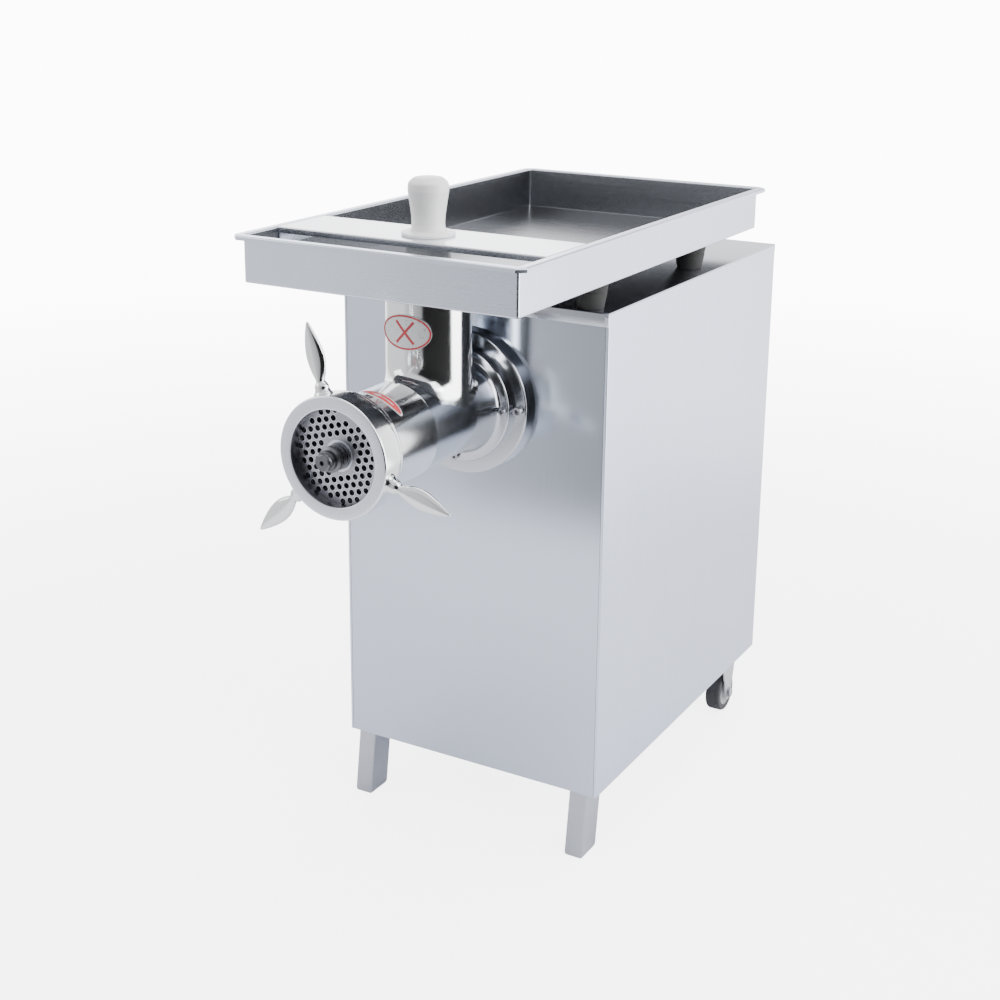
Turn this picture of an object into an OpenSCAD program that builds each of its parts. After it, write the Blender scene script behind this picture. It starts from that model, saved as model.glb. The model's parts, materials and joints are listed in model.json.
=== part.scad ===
// Floor-standing electric meat grinder: a sheet-steel cabinet on two front legs
// and two rear casters, a screw grinding head on the front, a lift-off feed
// tray with a guard bridge and a stomper, and a belt and gear drive inside.
// X is across the machine, Y runs from the head to the rear, Z is up.
// All sizes are in millimetres.

/* [Cabinet] */
// Width across the side panels
cabinet_w = 410; // [404:1:412]
// Depth from the front panel to the rear panel
cabinet_d = 596; // [592:1:600]
// Height of the cabinet body
cabinet_h = 686; // [680:1:690]
// Height of the legs and casters under the cabinet
leg_h = 94; // [92:1:98]
// Thickness of the steel panels
sheet = 1.5; // [1.5:0.5:2]

/* [Tray] */
// Width across the tray walls
tray_w = 396; // [390:1:398]
// Length of the tray along the machine
tray_l = 748; // [740:1:752]
// Height of the tray walls
tray_wall = 62; // [50:1:64]
// Width of the folded lip round the tray
tray_lip = 12; // [10:1:12]
// Height of the rubber supports under the tray
support_h = 35; // [33:1:44]

/* [Head] */
// Diameter of the perforated plate
plate_d = 130; // [130:1:130]
// Diameter of each hole in the plate
plate_hole_d = 7.8; // [4:0.1:8]
// Spacing of the holes in the plate
plate_pitch = 10.7; // [10.5:0.1:14]
// Outside diameter of the ring nut
ring_d = 154; // [154:1:158]
// Outside diameter of the feed neck
neck_d = 111; // [110:1:112]
// Reach of each ring handle from the head axis
handle_reach = 165; // [150:1:168]

/* [Stomper] */
// Diameter of the stomper shaft
stomper_d = 57; // [54:1:57]
// Height of the stomper grip above the guard bridge
grip_h = 74; // [66:1:76]

/* [Drive] */
// Teeth on the large gear
gear_teeth = 60; // [60:1:60]
// Teeth on the pinion
pinion_teeth = 20; // [20:1:20]
// Gear module
gear_module = 3; // [3:1:3]

/* [Hidden] */
$fn = 72;
e = 0.1;                                  // overshoot of a cut past a face

// Levels above the floor
z_base = leg_h;
z_top = z_base + cabinet_h;
z_tray = z_top + support_h;
z_rim = z_tray + tray_wall;
z_head = z_base + 546;
z_bridge = z_rim;

// Half sizes and planes across and along the cabinet
hx = cabinet_w / 2;
hx_in = hx - sheet;
y_rear = cabinet_d;
y_rear_in = y_rear - sheet;

// The head, front to back, with the cabinet's front face at zero
y_stud_tip = -340;
y_ring_front = -320;
y_plate_front = -305;
y_barrel_front = -301;
y_plate_back = -289;
y_ring_back = -287;
y_collar_back = -278;
y_knife_back = -279;
y_step = -183;
y_hub = -36;
y_flange = -24;
y_auger_back = -27;
y_spigot = 10;
y_neck = -104;

r_plate = plate_d / 2;
r_plate_seat = r_plate + 0.2;
r_opening = 60;
r_thread = 71;
r_ring_bore = 71.3;
r_collar = 74;
r_barrel = 64;
r_barrel_rear = 61;
r_bore = 53;
r_auger = 51;
r_core = 24;
r_stud = 16;
r_hub = 80;
r_flange = 100;
r_spigot = 74;
r_flange_bolt = 90;
r_hub_bolt = 72.5;
flange_turns = [90:120:330];
hub_turns = [0:90:270];
plate_turn = 15.6;
r_neck = neck_d / 2;
r_throat = 48.5;
knife_square = 22;
tang_square = 26;

// Drive
r_output = 27.5;
r_input = 15;
r_gear = gear_module * gear_teeth / 2;
r_pinion = gear_module * pinion_teeth / 2;
z_input = z_head - r_gear - r_pinion;
y_case_front = 10;
y_case_wall = 26;
y_cover = 92;
y_cover_back = 108;
y_gear = 38;
gear_w = 44;
r_case = 108;
r_case_in = 97;
r_output_bearing = 50;
r_input_bearing = 31;

rail = 30;
post = 25;
z_rail_top = z_base + sheet + rail;
motor_plate = 8;
motor_height = 112;
z_motor = z_rail_top + motor_plate + motor_height;
r_rotor_shaft = 14;
r_motor = 104;
y_motor_front = 225;
y_motor_rear = 400;
bell = 20;
belt_r_big = 91;
belt_ratio = 2.5;
belt_r_small = belt_r_big / belt_ratio;
belt_h = 8;
belt_w = 10;
belt_gap = 0.3;
y_belts = [137, 155];
y_pulley = 127;
pulley_w = 38;

// Running gear
leg_x = 177;
leg_w = 28;
leg_depth = 44;
leg_lean = 13;
caster_x = 176;
caster_y = 525;
wheel_r = 32;
wheel_w = 24;
axle_r = 4;

// Tray
tray_y0 = -226;
tray_y1 = tray_y0 + tray_l;
tray_hx = tray_w / 2;
support_x = 168;
support_ys = [20, 340];
bridge_y0 = y_neck - 52;
bridge_y1 = y_neck + 52;
r_ram = stomper_d / 2;
r_disc = 34.5;
disc_h = 4;

// Controls and cable entry, both out of sight from the front
button_y = 110;
start_z = z_top - 130;
stop_z = z_top - 90;
gland_x = -130;
gland_z = z_base + 60;
gland_len = 24;
r_cable = 5.5;

// The origin is on the floor under the middle of the machine's length
mid_y = (y_stud_tip + y_rear + gland_len) / 2;

// ---------------------------------------------------------------- helpers

module placed() { translate([0, -mid_y, 0]) children(); }

module box(x, y, z) {
    translate([x[0], y[0], z[0]])
        cube([x[1] - x[0], y[1] - y[0], z[1] - z[0]]);
}

// Both ends of a span given about a centre
function at(c, span) = [c + span[0], c + span[1]];

module both_sides() { children(); mirror([1, 0, 0]) children(); }

module ycyl(r, y0, y1, x = 0, z = z_head) {
    translate([x, y1, z]) rotate([90, 0, 0]) cylinder(r = r, h = y1 - y0);
}

module ytube(ro, ri, y0, y1, x = 0, z = z_head) {
    difference() {
        ycyl(ro, y0, y1, x, z);
        ycyl(ri, y0 - 1, y1 + 1, x, z);
    }
}

module xcyl(r, x0, x1, y, z) {
    translate([x0, y, z]) rotate([0, 90, 0]) cylinder(r = r, h = x1 - x0);
}

// Revolves [radius, y] points about an axis along Y
module ylathe(points, x = 0, z = z_head) {
    translate([x, 0, z]) rotate([-90, 0, 0]) rotate_extrude() polygon(points);
}

// Places children, drawn radially along +Z, round the head axis
module round_head(angles) {
    translate([0, 0, z_head]) for (a = angles) rotate([0, a, 0]) children();
}

module head_bolt_holes(r_circle, r, y0, y1, angles) {
    round_head(angles) ycyl(r, y0, y1, 0, r_circle);
}

// A socket-head screw along Y, its head towards -Y from the seat
module cap_screw(r, head_r, seat, length, z = 0) {
    difference() {
        union() {
            ycyl(head_r, seat - 2 * r, seat, 0, z);
            ycyl(r, seat - e, seat + length, 0, z);
        }
        translate([0, seat - r, z]) rotate([90, 0, 0])
            cylinder(r = r * 0.7, h = 2 * r, $fn = 6);
    }
}

function ellipse(a, b, n = 40) =
    [for (i = [0:n - 1]) [a * cos(360 * i / n), b * sin(360 * i / n)]];

function involute(a) = tan(a) * 180 / PI - a;

// Half of a tooth's angle at radius r
function tooth_half(r, teeth, play) =
    let (rp = gear_module * teeth / 2, rb = rp * cos(20),
        a = r > rb ? acos(rb / r) : 0)
    90 / teeth - play / rp * 90 / PI + involute(20) - involute(a);

function gear_points(teeth, play) =
    let (rp = gear_module * teeth / 2,
        radii = [rp - 1.3 * gear_module, rp - 0.7 * gear_module, rp,
            rp + 0.5 * gear_module, rp + 0.92 * gear_module])
    [for (k = [0:teeth - 1], s = [-1, 1], i = [0:4])
        let (r = radii[s < 0 ? i : 4 - i],
            a = 360 * k / teeth + s * tooth_half(r, teeth, play))
        [r * sin(a), r * cos(a)]];

module gear(teeth, bore, z, phase) {
    translate([0, y_gear + gear_w, z]) rotate([90, 0, 0]) difference() {
        rotate(phase) linear_extrude(gear_w) polygon(gear_points(teeth, 0.5));
        translate([0, 0, -1]) cylinder(r = bore, h = gear_w + 2);
    }
}

// Closed belt line round two pulleys, the upper at z_input, the lower at z_motor
function belt_line(grow, n = 20) =
    let (ra = belt_r_big + grow, rb = belt_r_small + grow,
        lean = asin((belt_r_big - belt_r_small) / (z_input - z_motor)))
    concat([for (i = [0:2 * n]) let (a = -lean + i * (180 + 2 * lean) / (2 * n))
            [ra * cos(a), z_input + ra * sin(a)]],
        [for (i = [0:n]) let (a = 180 + lean + i * (180 - 2 * lean) / n)
            [rb * cos(a), z_motor + rb * sin(a)]]);

module pulley(r_line, bore, z) {
    top = r_line + belt_h / 2;
    difference() {
        ycyl(top, y_pulley, y_pulley + pulley_w, 0, z);
        ycyl(bore, y_pulley - 1, y_pulley + pulley_w + 1, 0, z);
        for (y = y_belts) ylathe([
            [top - belt_h - 1, y - belt_w / 2 - belt_gap],
            [top + 1, y - belt_w / 2 - 2],
            [top + 1, y + belt_w / 2 + 2],
            [top - belt_h - 1, y + belt_w / 2 + belt_gap]], 0, z);
    }
}

// ---------------------------------------------------------------- cabinet

module front_panel() color("gainsboro") placed() difference() {
    box([-hx_in, hx_in], [0, sheet], [z_base, z_top - sheet]);
    ycyl(r_spigot + 0.5, -1, sheet + 1);
    head_bolt_holes(r_flange_bolt, 4.2, -1, sheet + 1, flange_turns);
}

module side_sheet() {
    box([hx_in, hx], [0, y_rear], [z_base, z_top - sheet]);
    box([hx_in - 15, hx_in], [y_rear_in - sheet, y_rear_in],
        [z_rail_top, z_top - sheet - post]);
}

// Holes for the rear panel's screws
module screw_wells(r)
    for (x = [-196, 196], z = [150, 350, 550, 740])
        ycyl(r, y_rear_in - 6, y_rear + 1, x, z);

module side_panel_right() color("whitesmoke") placed() difference() {
    side_sheet();
    screw_wells(2.6);
}

module side_panel_left() color("whitesmoke") placed() difference() {
    mirror([1, 0, 0]) side_sheet();
    screw_wells(2.6);
    xcyl(11.5, -hx - 1, -hx_in + 1, button_y, start_z);
    xcyl(11.5, -hx - 1, -hx_in + 1, button_y, stop_z);
}

louvre_rows = 9;
louvre_pitch = 22;
louvre_w = 110;
louvre_z0 = z_base + 170;

module rear_panel() color("gainsboro") placed() {
    difference() {
        box([-hx_in, hx_in], [y_rear_in, y_rear], [z_base, z_top - sheet]);
        for (i = [0:louvre_rows - 1], x = [-80, 80])
            box([x - louvre_w / 2, x + louvre_w / 2],
                [y_rear_in - 1, y_rear + 1],
                at(louvre_z0 + i * louvre_pitch, [0, 7]));
        ycyl(10, y_rear_in - 1, y_rear + 1, gland_x, gland_z);
        screw_wells(2.6);
    }
    for (i = [0:louvre_rows - 1], x = [-80, 80])
        translate([x - louvre_w / 2, y_rear, louvre_z0 + i * louvre_pitch + 7])
            rotate([90, 0, 90]) linear_extrude(louvre_w)
                polygon([[0, 0], [7, -5], [8, -5], [8, -4], [0, 8]]);
}

module top_cover() color("lightgray") placed() {
    box([-hx, hx], [-sheet, y_rear], [z_top - sheet, z_top]);
    box([-hx, hx], [-sheet, 0], [z_top - 18, z_top - sheet]);
}

module floor_pan() color("darkgray") placed() difference() {
    box([-hx_in, hx_in], [sheet, y_rear_in], [z_base, z_base + sheet]);
    for (i = [0:5])
        box([-70, 70], at(250 + i * 24, [0, 8]), at(z_base, [-1, sheet + 1]));
}

module base_frame() color("slategray") placed() difference() {
    frame_tubes();
    screw_wells(2.6);
}

module frame_tubes() {
    z0 = z_base + sheet;
    zt = z_top - sheet;
    both_sides() {
        box([hx_in - rail, hx_in], [sheet, y_rear_in - sheet], [z0, z_rail_top]);
        box([hx_in - post, hx_in], [sheet, y_rear_in - sheet], [zt - post, zt]);
        for (y = [sheet, y_rear_in - sheet - post])
            box([hx_in - post, hx_in], [y, y + post], [z_rail_top - e, zt - post + e]);
    }
    for (y = [sheet, 230, 390, y_rear_in - sheet - rail])
        box([-hx_in + rail - e, hx_in - rail + e], [y, y + rail], [z0, z_rail_top]);
    box([-hx_in + post - e, hx_in - post + e],
        [y_rear_in - sheet - post, y_rear_in - sheet], [zt - post, zt]);
    box([-hx_in + post - e, hx_in - post + e], [sheet, sheet + post],
        [zt - post, zt]);
}

module drive_plate() color("slategray") placed() difference() {
    box([-hx_in + post, hx_in - post], [sheet, y_case_front],
        [z_input - 80, z_top - sheet - post]);
    ycyl(r_spigot + 0.5, 0, y_case_front + 1);
    head_bolt_holes(r_flange_bolt, 4.2, 0, y_case_front + 1, flange_turns);
}

// Side outline of a leg as [y, z], leaning forward to the floor
function leg_outline(inset, z0) =
    let (lean = leg_lean / leg_h, y = function(z) 2 - leg_lean + lean * z)
    [[y(z0) + inset, z0], [y(z0) + leg_depth - inset, z0],
        [y(z_base) + leg_depth - inset, z_base], [y(z_base) + inset, z_base]];

module leg() {
    wall = 3;
    translate([leg_x - leg_w / 2, 0, 0]) rotate([90, 0, 90]) difference() {
        linear_extrude(leg_w) polygon(leg_outline(0, 0));
        translate([0, 0, wall]) linear_extrude(leg_w - 2 * wall)
            polygon(leg_outline(wall, 4));
    }
}

module front_leg_right() color("darkgray") placed() leg();
module front_leg_left() color("darkgray") placed() mirror([1, 0, 0]) leg();

fork_t = 3;
fork_in = wheel_w / 2 + 1.5;

module fork() translate([caster_x, caster_y, 0]) {
    box([-24, 24], [-34, 34], [z_base - fork_t, z_base]);
    both_sides() translate([fork_in, 0, 0]) rotate([90, 0, 90]) difference() {
        linear_extrude(fork_t) union() {
            polygon([[-27, z_base - fork_t + e], [-9.5, wheel_r - 6],
                [9.5, wheel_r - 6], [27, z_base - fork_t + e]]);
            translate([0, wheel_r]) circle(r = 11.3);
        }
        translate([0, wheel_r, -1]) cylinder(r = axle_r, h = fork_t + 2);
    }
}

module caster_fork_right() color("silver") placed() fork();
module caster_fork_left() color("silver") placed() mirror([1, 0, 0]) fork();

module caster_axles() color("dimgray") placed() both_sides() {
    out = fork_in + fork_t;
    xcyl(axle_r, caster_x - out - 7, caster_x + out + 1, caster_y, wheel_r);
    translate([caster_x + out, caster_y, wheel_r]) rotate([0, 90, 0])
        cylinder(r = 7.5, h = 5, $fn = 6);
    translate([caster_x - out - 6, caster_y, wheel_r]) rotate([0, 90, 0])
        cylinder(r = 7.5, h = 6, $fn = 6);
}

module wheel() translate([caster_x, caster_y, wheel_r]) rotate([0, 90, 0])
    rotate_extrude() polygon([[axle_r + 0.05, -13], [9, -13], [10, -10],
        [20, -9], [22, -12], [wheel_r - 2, -12], [wheel_r, -10],
        [wheel_r, 10], [wheel_r - 2, 12], [22, 12], [20, 9], [10, 10],
        [9, 13], [axle_r + 0.05, 13]]);

module wheel_right() color("dimgray") placed() wheel();
module wheel_left() color("dimgray") placed() mirror([1, 0, 0]) wheel();

module tray_supports() color("black") placed()
    for (sx = [-1, 1], y = support_ys)
        translate([sx * support_x, y, z_top]) rotate_extrude() polygon([
            [0, 0], [18, 0], [22.5, support_h - 6], [23, support_h - 6],
            [23, support_h - 0.1], [5.4, support_h - 0.1],
            [5.4, support_h - 20], [0, support_h - 20]]);

module panel_screws() color("gray") placed() {
    for (x = [-196, 196], z = [150, 350, 550, 740])
        ylathe([[0, y_rear_in - 4], [2.5, y_rear_in - 4], [2.5, y_rear],
            [4.75, y_rear], [4.2, y_rear + 2], [2, y_rear + 3],
            [0, y_rear + 3]], x, z);
}

// ------------------------------------------------------------------- head

module mounting_flange() color("silver") placed() difference() {
    ylathe([[r_output + 0.5, y_flange], [r_flange - 2, y_flange],
        [r_flange, y_flange + 2], [r_flange, -sheet * 0],
        [r_spigot, 0], [r_spigot, y_spigot], [r_output + 0.5, y_spigot]]);
    ycyl(40, y_flange - 1, y_flange + 12);
    head_bolt_holes(r_flange_bolt, 4.2, y_flange - 1, 1, flange_turns);
    head_bolt_holes(r_hub_bolt, 3.2, y_flange - 1, -10, hub_turns);
}

// Points of the barrel's flare towards the hub, from step i0 to i1
function flare(i0, i1) = [for (i = [i0:i1]) let (a = i * 15)
    [r_barrel_rear + 6 * (1 - cos(a)), -78 + 42 * sin(a)]];
y_split = flare(3, 3)[0][1];

module head_barrel() color("lightsteelblue") placed() difference() {
    union() {
        ylathe(concat([[0, y_barrel_front], [r_thread - 1, y_barrel_front],
            [r_thread, y_barrel_front + 1], [r_thread, y_ring_back + 1],
            [r_collar, y_ring_back + 1], [r_collar, y_collar_back],
            [r_barrel, y_collar_back], [r_barrel, y_step - 3],
            [r_barrel - 1, y_step - 0.8], [r_barrel_rear, y_step]],
            flare(0, 3), [[0, y_split]]));
        translate([0, y_neck, z_head])
            cylinder(r = r_neck, h = z_tray - 0.1 - z_head);
    }
    ycyl(r_bore, y_plate_back - 1, y_flange + 1);
    ycyl(r_plate_seat, y_barrel_front - 1, y_plate_back);
    box([-3.1, 3.1], [y_barrel_front + 1, y_plate_back],
        at(z_head, [60, 68.2]));
    translate([0, y_neck, z_head]) cylinder(r = r_throat, h = 200);
}

module head_hub() color("lightsteelblue") placed() difference() {
    ylathe(concat([[0, y_split]], flare(3, 6),
        [[r_hub, y_hub], [r_hub, y_flange], [0, y_flange]]));
    ycyl(r_bore, y_split - 1, y_flange + 1);
    head_bolt_holes(r_hub_bolt, 3.2, y_hub - 1, y_flange + 1, hub_turns);
}

module flange_bolts() color("dimgray") placed()
    round_head(flange_turns) cap_screw(4, 6.5, y_flange, 32, r_flange_bolt);

module hub_bolts() color("dimgray") placed()
    round_head(hub_turns) cap_screw(3, 5, y_hub, 24, r_hub_bolt);

module plate_key() color("dimgray") placed()
    box([-3, 3], [y_barrel_front + 2, y_plate_back - 0.5],
        at(z_head, [61.8, 68]));

module shaft_seal() color("black") placed()
    ytube(39.9, r_output + 0.05, y_flange + 4, y_flange + 12);

module neck_badge() color("whitesmoke") placed()
    translate([0, y_neck, 0]) intersection() {
        difference() {
            translate([0, 0, z_base + 600]) cylinder(r = r_neck + 0.7, h = 120);
            translate([0, 0, z_base + 599]) cylinder(r = r_neck, h = 122);
        }
        translate([0, 0, z_head + 122]) rotate([90, 0, 0])
            linear_extrude(100) polygon(ellipse(34.5, 22.5));
    }

module barrel_badge() color("firebrick") placed() intersection() {
    ytube(r_barrel + 0.7, r_barrel, -266, -218);
    translate([0, -242, z_head]) rotate([0, 20, 0])
        linear_extrude(100) polygon(ellipse(30, 9));
}

module auger_core() color("silver") placed() {
    sq = knife_square / 2;
    tq = tang_square / 2;
    ycyl(r_core, y_knife_back, y_auger_back);
    box([-sq, sq], [y_plate_back + 0.2, y_knife_back + e], at(z_head, [-sq, sq]));
    difference() {
        ylathe([[0, y_stud_tip], [9, y_stud_tip], [10.5, y_stud_tip + 1.5],
            [10.5, -326], [13, -326], [r_stud, -324], [r_stud, -319],
            [14.2, -318.4], [14.2, -316.6], [r_stud, -316],
            [r_stud, -311], [14.2, -310.4], [14.2, -308.6], [r_stud, -308],
            [r_stud, y_plate_back + 0.2], [0, y_plate_back + 0.2]]);
        ycyl(3, y_stud_tip - 1, y_stud_tip + 4);
    }
    box([-tq, tq], [y_auger_back - e, 18], at(z_head, [-tq, tq]));
}

// One spiral blade, wound round the core
module auger_flight() color("gray") placed() {
    length = y_auger_back - y_knife_back - 6;
    pitch = 72;
    translate([0, y_auger_back - 3, z_head]) rotate([90, 0, 0])
        linear_extrude(length, twist = -360 * length / pitch, slices = 90, $fn = 12)
            polygon(concat([for (a = [-14:7:14]) r_auger * [cos(a), sin(a)]],
                [for (a = [26:-13:-26]) (r_core - 0.2) * [cos(a), sin(a)]]));
}

module knife() color("gainsboro") placed() difference() {
    union() {
        ycyl(20, y_plate_back + 0.3, y_knife_back);
        round_head([45:90:315]) intersection() {
            box([-9, 5], [y_plate_back + 0.3, y_knife_back], [0, 50]);
            ycyl(50, y_plate_back, y_knife_back + 1, 0, 0);
        }
    }
    box([-11.1, 11.1], [y_plate_back - 1, y_knife_back + 1],
        at(z_head, [-11.1, 11.1]));
}

// Holes on a triangular grid between the hub and the rim of the plate
plate_rows = floor(r_plate / (plate_pitch * 0.866)) + 1;
plate_holes = [for (j = [-plate_rows:plate_rows], i = [-plate_rows:plate_rows])
    let (p = [plate_pitch * (i + (j % 2 == 0 ? 0 : 0.5)), plate_pitch * 0.866 * j])
    if (norm(p) > r_stud + plate_hole_d && norm(p) < r_opening - 3
        && norm([p[0] - 27.1, p[1] - 47.5]) > 11.75)
        p];

module die_plate() color("silver") placed()
    translate([0, y_plate_back, z_head]) rotate([90, 0, 0])
        linear_extrude(y_plate_back - y_plate_front) difference() {
            circle(r = r_plate);
            circle(r = r_stud + 0.05);
            translate([-3.3, 61.2]) square([6.6, 10]);
            rotate(plate_turn) for (p = plate_holes) translate(p)
                circle(r = plate_hole_d / 2, $fn = 24);
        }

module ring_nut() color("lightsteelblue") placed() {
    r = ring_d / 2;
    ylathe([[r_opening + 1.5, y_ring_front], [r - 2.5, y_ring_front],
        [r, y_ring_front + 2.5], [r, y_ring_back - 1], [r - 1, y_ring_back],
        [r_ring_bore, y_ring_back], [r_ring_bore, y_plate_front - 0.1],
        [r_opening, y_plate_front - 0.1], [r_opening, y_ring_front + 1.5]]);
}

handle_turn = -14;
y_handle = -308;

// Three leaf-shaped grips standing out of the ring
module ring_handles() color("silver") placed()
    round_head([for (k = [0:2]) handle_turn + 120 * k])
        translate([0, y_handle, 0]) {
            r0 = ring_d / 2 - 2;
            difference() {
                cylinder(r = 11, h = r0 + 10);
                translate([0, 0, -1]) cylinder(r = 20, h = r0 - 20);
                translate([0, -y_handle, 0]) ycyl(ring_d / 2 - 0.02,
                    y_ring_front - 20, y_ring_back + 20, 0, 0);
            }
            intersection() {
                translate([0, 0, r0 + 8]) rotate_extrude() polygon([[0, 0],
                    [7, 0], [6, 4], [7.5, 12], [11, 24], [13, 36], [12.5, 50],
                    [9.5, 64], [5, handle_reach - r0 - 12],
                    [2, handle_reach - r0 - 8], [0, handle_reach - r0 - 8]]);
                box([-20, 20], [-8, 8], [r0, handle_reach + 1]);
            }
        }

// ------------------------------------------------------------- drive line

module output_shaft() color("gray") placed() difference() {
    ycyl(r_output, y_flange + 2, y_cover_back);
    box([-13.1, 13.1], [y_flange, 20], at(z_head, [-13.1, 13.1]));
}

module output_gear() color("gray") placed() gear(gear_teeth, r_output, z_head, 0);

module pinion_gear() color("gray") placed()
    gear(pinion_teeth, r_input, z_input, 180 / pinion_teeth);

module input_shaft() color("gray") placed()
    ycyl(r_input, 12, y_pulley + pulley_w + 6, 0, z_input);

module gearbox_pulley() color("dimgray") placed()
    pulley(belt_r_big, r_input, z_input);

module case_outline(grow) {
    translate([0, z_head]) circle(r = r_case_in + grow);
    translate([0, z_input]) circle(r = 38 + grow);
    translate([-38 - grow, z_input]) square([76 + 2 * grow, z_head - z_input]);
}

module case_slab(grow, y0, y1) {
    translate([0, y1, 0]) rotate([90, 0, 0]) linear_extrude(y1 - y0)
        case_outline(grow);
}

case_bolt_angles = [0, 50, 100, 260, 310];

module bearing_bores(y0, y1) {
    ycyl(r_output_bearing, y0, y1);
    ycyl(r_input_bearing, y0, y1, 0, z_input);
}

module gear_case() color("slategray") placed() difference() {
    case_slab(r_case - r_case_in, y_case_front, y_cover);
    case_slab(0, y_case_wall, y_cover + 1);
    bearing_bores(y_case_front - 1, y_case_wall + 1);
    head_bolt_holes(102.5, 3, y_cover - 20, y_cover + 1, case_bolt_angles);
}

module gear_case_cover() color("lightslategray") placed() difference() {
    case_slab(r_case - r_case_in, y_cover, y_cover_back);
    bearing_bores(y_cover - 1, y_cover_back + 1);
    head_bolt_holes(102.5, 3, y_cover - 1, y_cover_back + 1, case_bolt_angles);
}

module gear_case_bolts() color("dimgray") placed()
    round_head(case_bolt_angles) {
        ycyl(3, y_cover - 18, y_cover_back + e, 0, 102.5);
        translate([0, y_cover_back + 5, 102.5]) rotate([90, 0, 0])
            cylinder(r = 5.2, h = 5, $fn = 6);
    }

module drive_bearings() color("silver") placed()
    for (y = [y_case_front, y_cover]) {
        ytube(r_output_bearing, r_output + 0.05, y, y + 16);
        ytube(r_input_bearing, r_input + 0.05, y, y + 16, 0, z_input);
    }

module drive_belts() color("black") placed()
    for (y = y_belts) translate([0, y + belt_w / 2, 0]) rotate([90, 0, 0])
        linear_extrude(belt_w) difference() {
            polygon(belt_line(belt_h / 2 + belt_gap));
            polygon(belt_line(-belt_h / 2 + belt_gap));
        }

module motor_case() color("steelblue") placed() {
    difference() {
        union() {
            ycyl(r_motor, y_motor_front, y_motor_rear, 0, z_motor);
            both_sides() box([40, 100], [245, 380],
                [z_motor - motor_height, z_motor - 70]);
            box([-45, 45], [280, 350], at(z_motor, [90, 145]));
        }
        ycyl(61, y_motor_front - 1, y_motor_rear + 1, 0, z_motor);
        box([-42, 42], [283, 347], at(z_motor, [105, 142]));
        for (x = [-85, 85], y = [265, 360]) translate([x, y, z_motor - 113]) {
            cylinder(r = 5, h = 60);
            translate([0, 0, 43]) cylinder(r = 10, h = 15);
        }
    }
}

module motor_end_bells() color("slategray") placed()
    for (y = [y_motor_front - bell, y_motor_rear])
        ytube(r_motor, 26, y, y + bell, 0, z_motor);

module motor_bearings() color("silver") placed()
    for (y = [y_motor_front - bell, y_motor_rear])
        ytube(26, r_rotor_shaft + 0.05, y, y + bell, 0, z_motor);

module fan_cover() color("slategray") placed() difference() {
    y0 = y_motor_rear + bell;
    ycyl(r_motor, y0, y0 + 58, 0, z_motor);
    ycyl(r_motor - 2, y0 - 1, y0 + 56, 0, z_motor);
    for (r = [28, 46, 64], a = [0:30:330])
        ycyl(6, y0 + 50, y0 + 60, r * sin(a), z_motor + r * cos(a));
}

module motor_base() color("slategray") placed() {
    difference() {
        box([-150, 150], [230, 420], [z_rail_top, z_rail_top + motor_plate]);
        for (x = [-85, 85], y = [265, 360]) translate([x, y, z_rail_top - 1])
            cylinder(r = 5, h = motor_plate + 2);
    }
    for (x = [-85, 85], y = [265, 360]) translate([x, y, z_rail_top]) {
        cylinder(r = 4.9, h = motor_plate + 48);
        translate([0, 0, motor_plate + 42]) cylinder(r = 8, h = 6, $fn = 6);
    }
}

module rotor() color("gray") placed() {
    ycyl(r_rotor_shaft, y_pulley - 4, y_motor_rear + bell + 34, 0, z_motor);
    ycyl(60, y_motor_front + 15, y_motor_rear - 15, 0, z_motor);
}

module motor_pulley() color("dimgray") placed()
    pulley(belt_r_small, r_rotor_shaft, z_motor);

module motor_fan() color("black") placed() {
    y0 = y_motor_rear + bell + 8;
    difference() {
        union() {
            ycyl(80, y0, y0 + 4, 0, z_motor);
            ycyl(24, y0, y0 + 24, 0, z_motor);
            translate([0, 0, z_motor]) for (a = [0:45:315]) rotate([0, a, 0])
                box([-2, 2], [y0 + 4 - e, y0 + 22], [23, 79]);
        }
        ycyl(r_rotor_shaft, y0 - 1, y0 + 25, 0, z_motor);
    }
}

// --------------------------------------------------------- tray, stomper

// Plan of the tray rim, its corners cut off
module rim_plan(grow) {
    a = tray_hx + grow;
    y0 = tray_y0 - grow;
    y1 = tray_y1 + grow;
    c = max(grow, 0);
    polygon([[-a + c, y0], [a - c, y0], [a, y0 + c], [a, y1 - c],
        [a - c, y1], [-a + c, y1], [-a, y1 - c], [-a, y0 + c]]);
}

module tray_pan() color("lightgray") placed() difference() {
    union() {
        translate([0, 0, z_tray]) linear_extrude(sheet) rim_plan(0);
        translate([0, 0, z_tray]) linear_extrude(tray_wall) difference() {
            rim_plan(0);
            rim_plan(-sheet);
        }
        translate([0, 0, z_rim - sheet]) linear_extrude(sheet) difference() {
            rim_plan(tray_lip);
            rim_plan(-sheet);
        }
        translate([0, 0, z_rim - 6]) linear_extrude(6) difference() {
            rim_plan(tray_lip);
            rim_plan(tray_lip - sheet);
        }
    }
    translate([0, y_neck, z_tray - 1]) cylinder(r = r_throat - 0.3, h = 4);
}

module tray_collar() color("lightgray") placed()
    translate([0, y_neck, z_tray - 28]) difference() {
        cylinder(r = r_throat - 0.3, h = 28 + sheet);
        translate([0, 0, -1]) cylinder(r = r_throat - 2, h = 32 + sheet);
    }

module guard_bridge() color("whitesmoke") placed() {
    x = tray_hx - sheet;
    difference() {
        union() {
            box([-x, x], [bridge_y0, bridge_y1], [z_bridge - sheet, z_bridge]);
            for (y = [bridge_y0, bridge_y1 - sheet])
                box([-x + sheet, x - sheet], [y, y + sheet], at(z_bridge, [-8, -1]));
            both_sides() box([x - sheet, x], [bridge_y0, bridge_y1],
                at(z_bridge, [-24, -1]));
        }
        translate([0, y_neck, z_bridge - 5]) cylinder(r = r_ram + 1, h = 10);
    }
}

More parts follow.
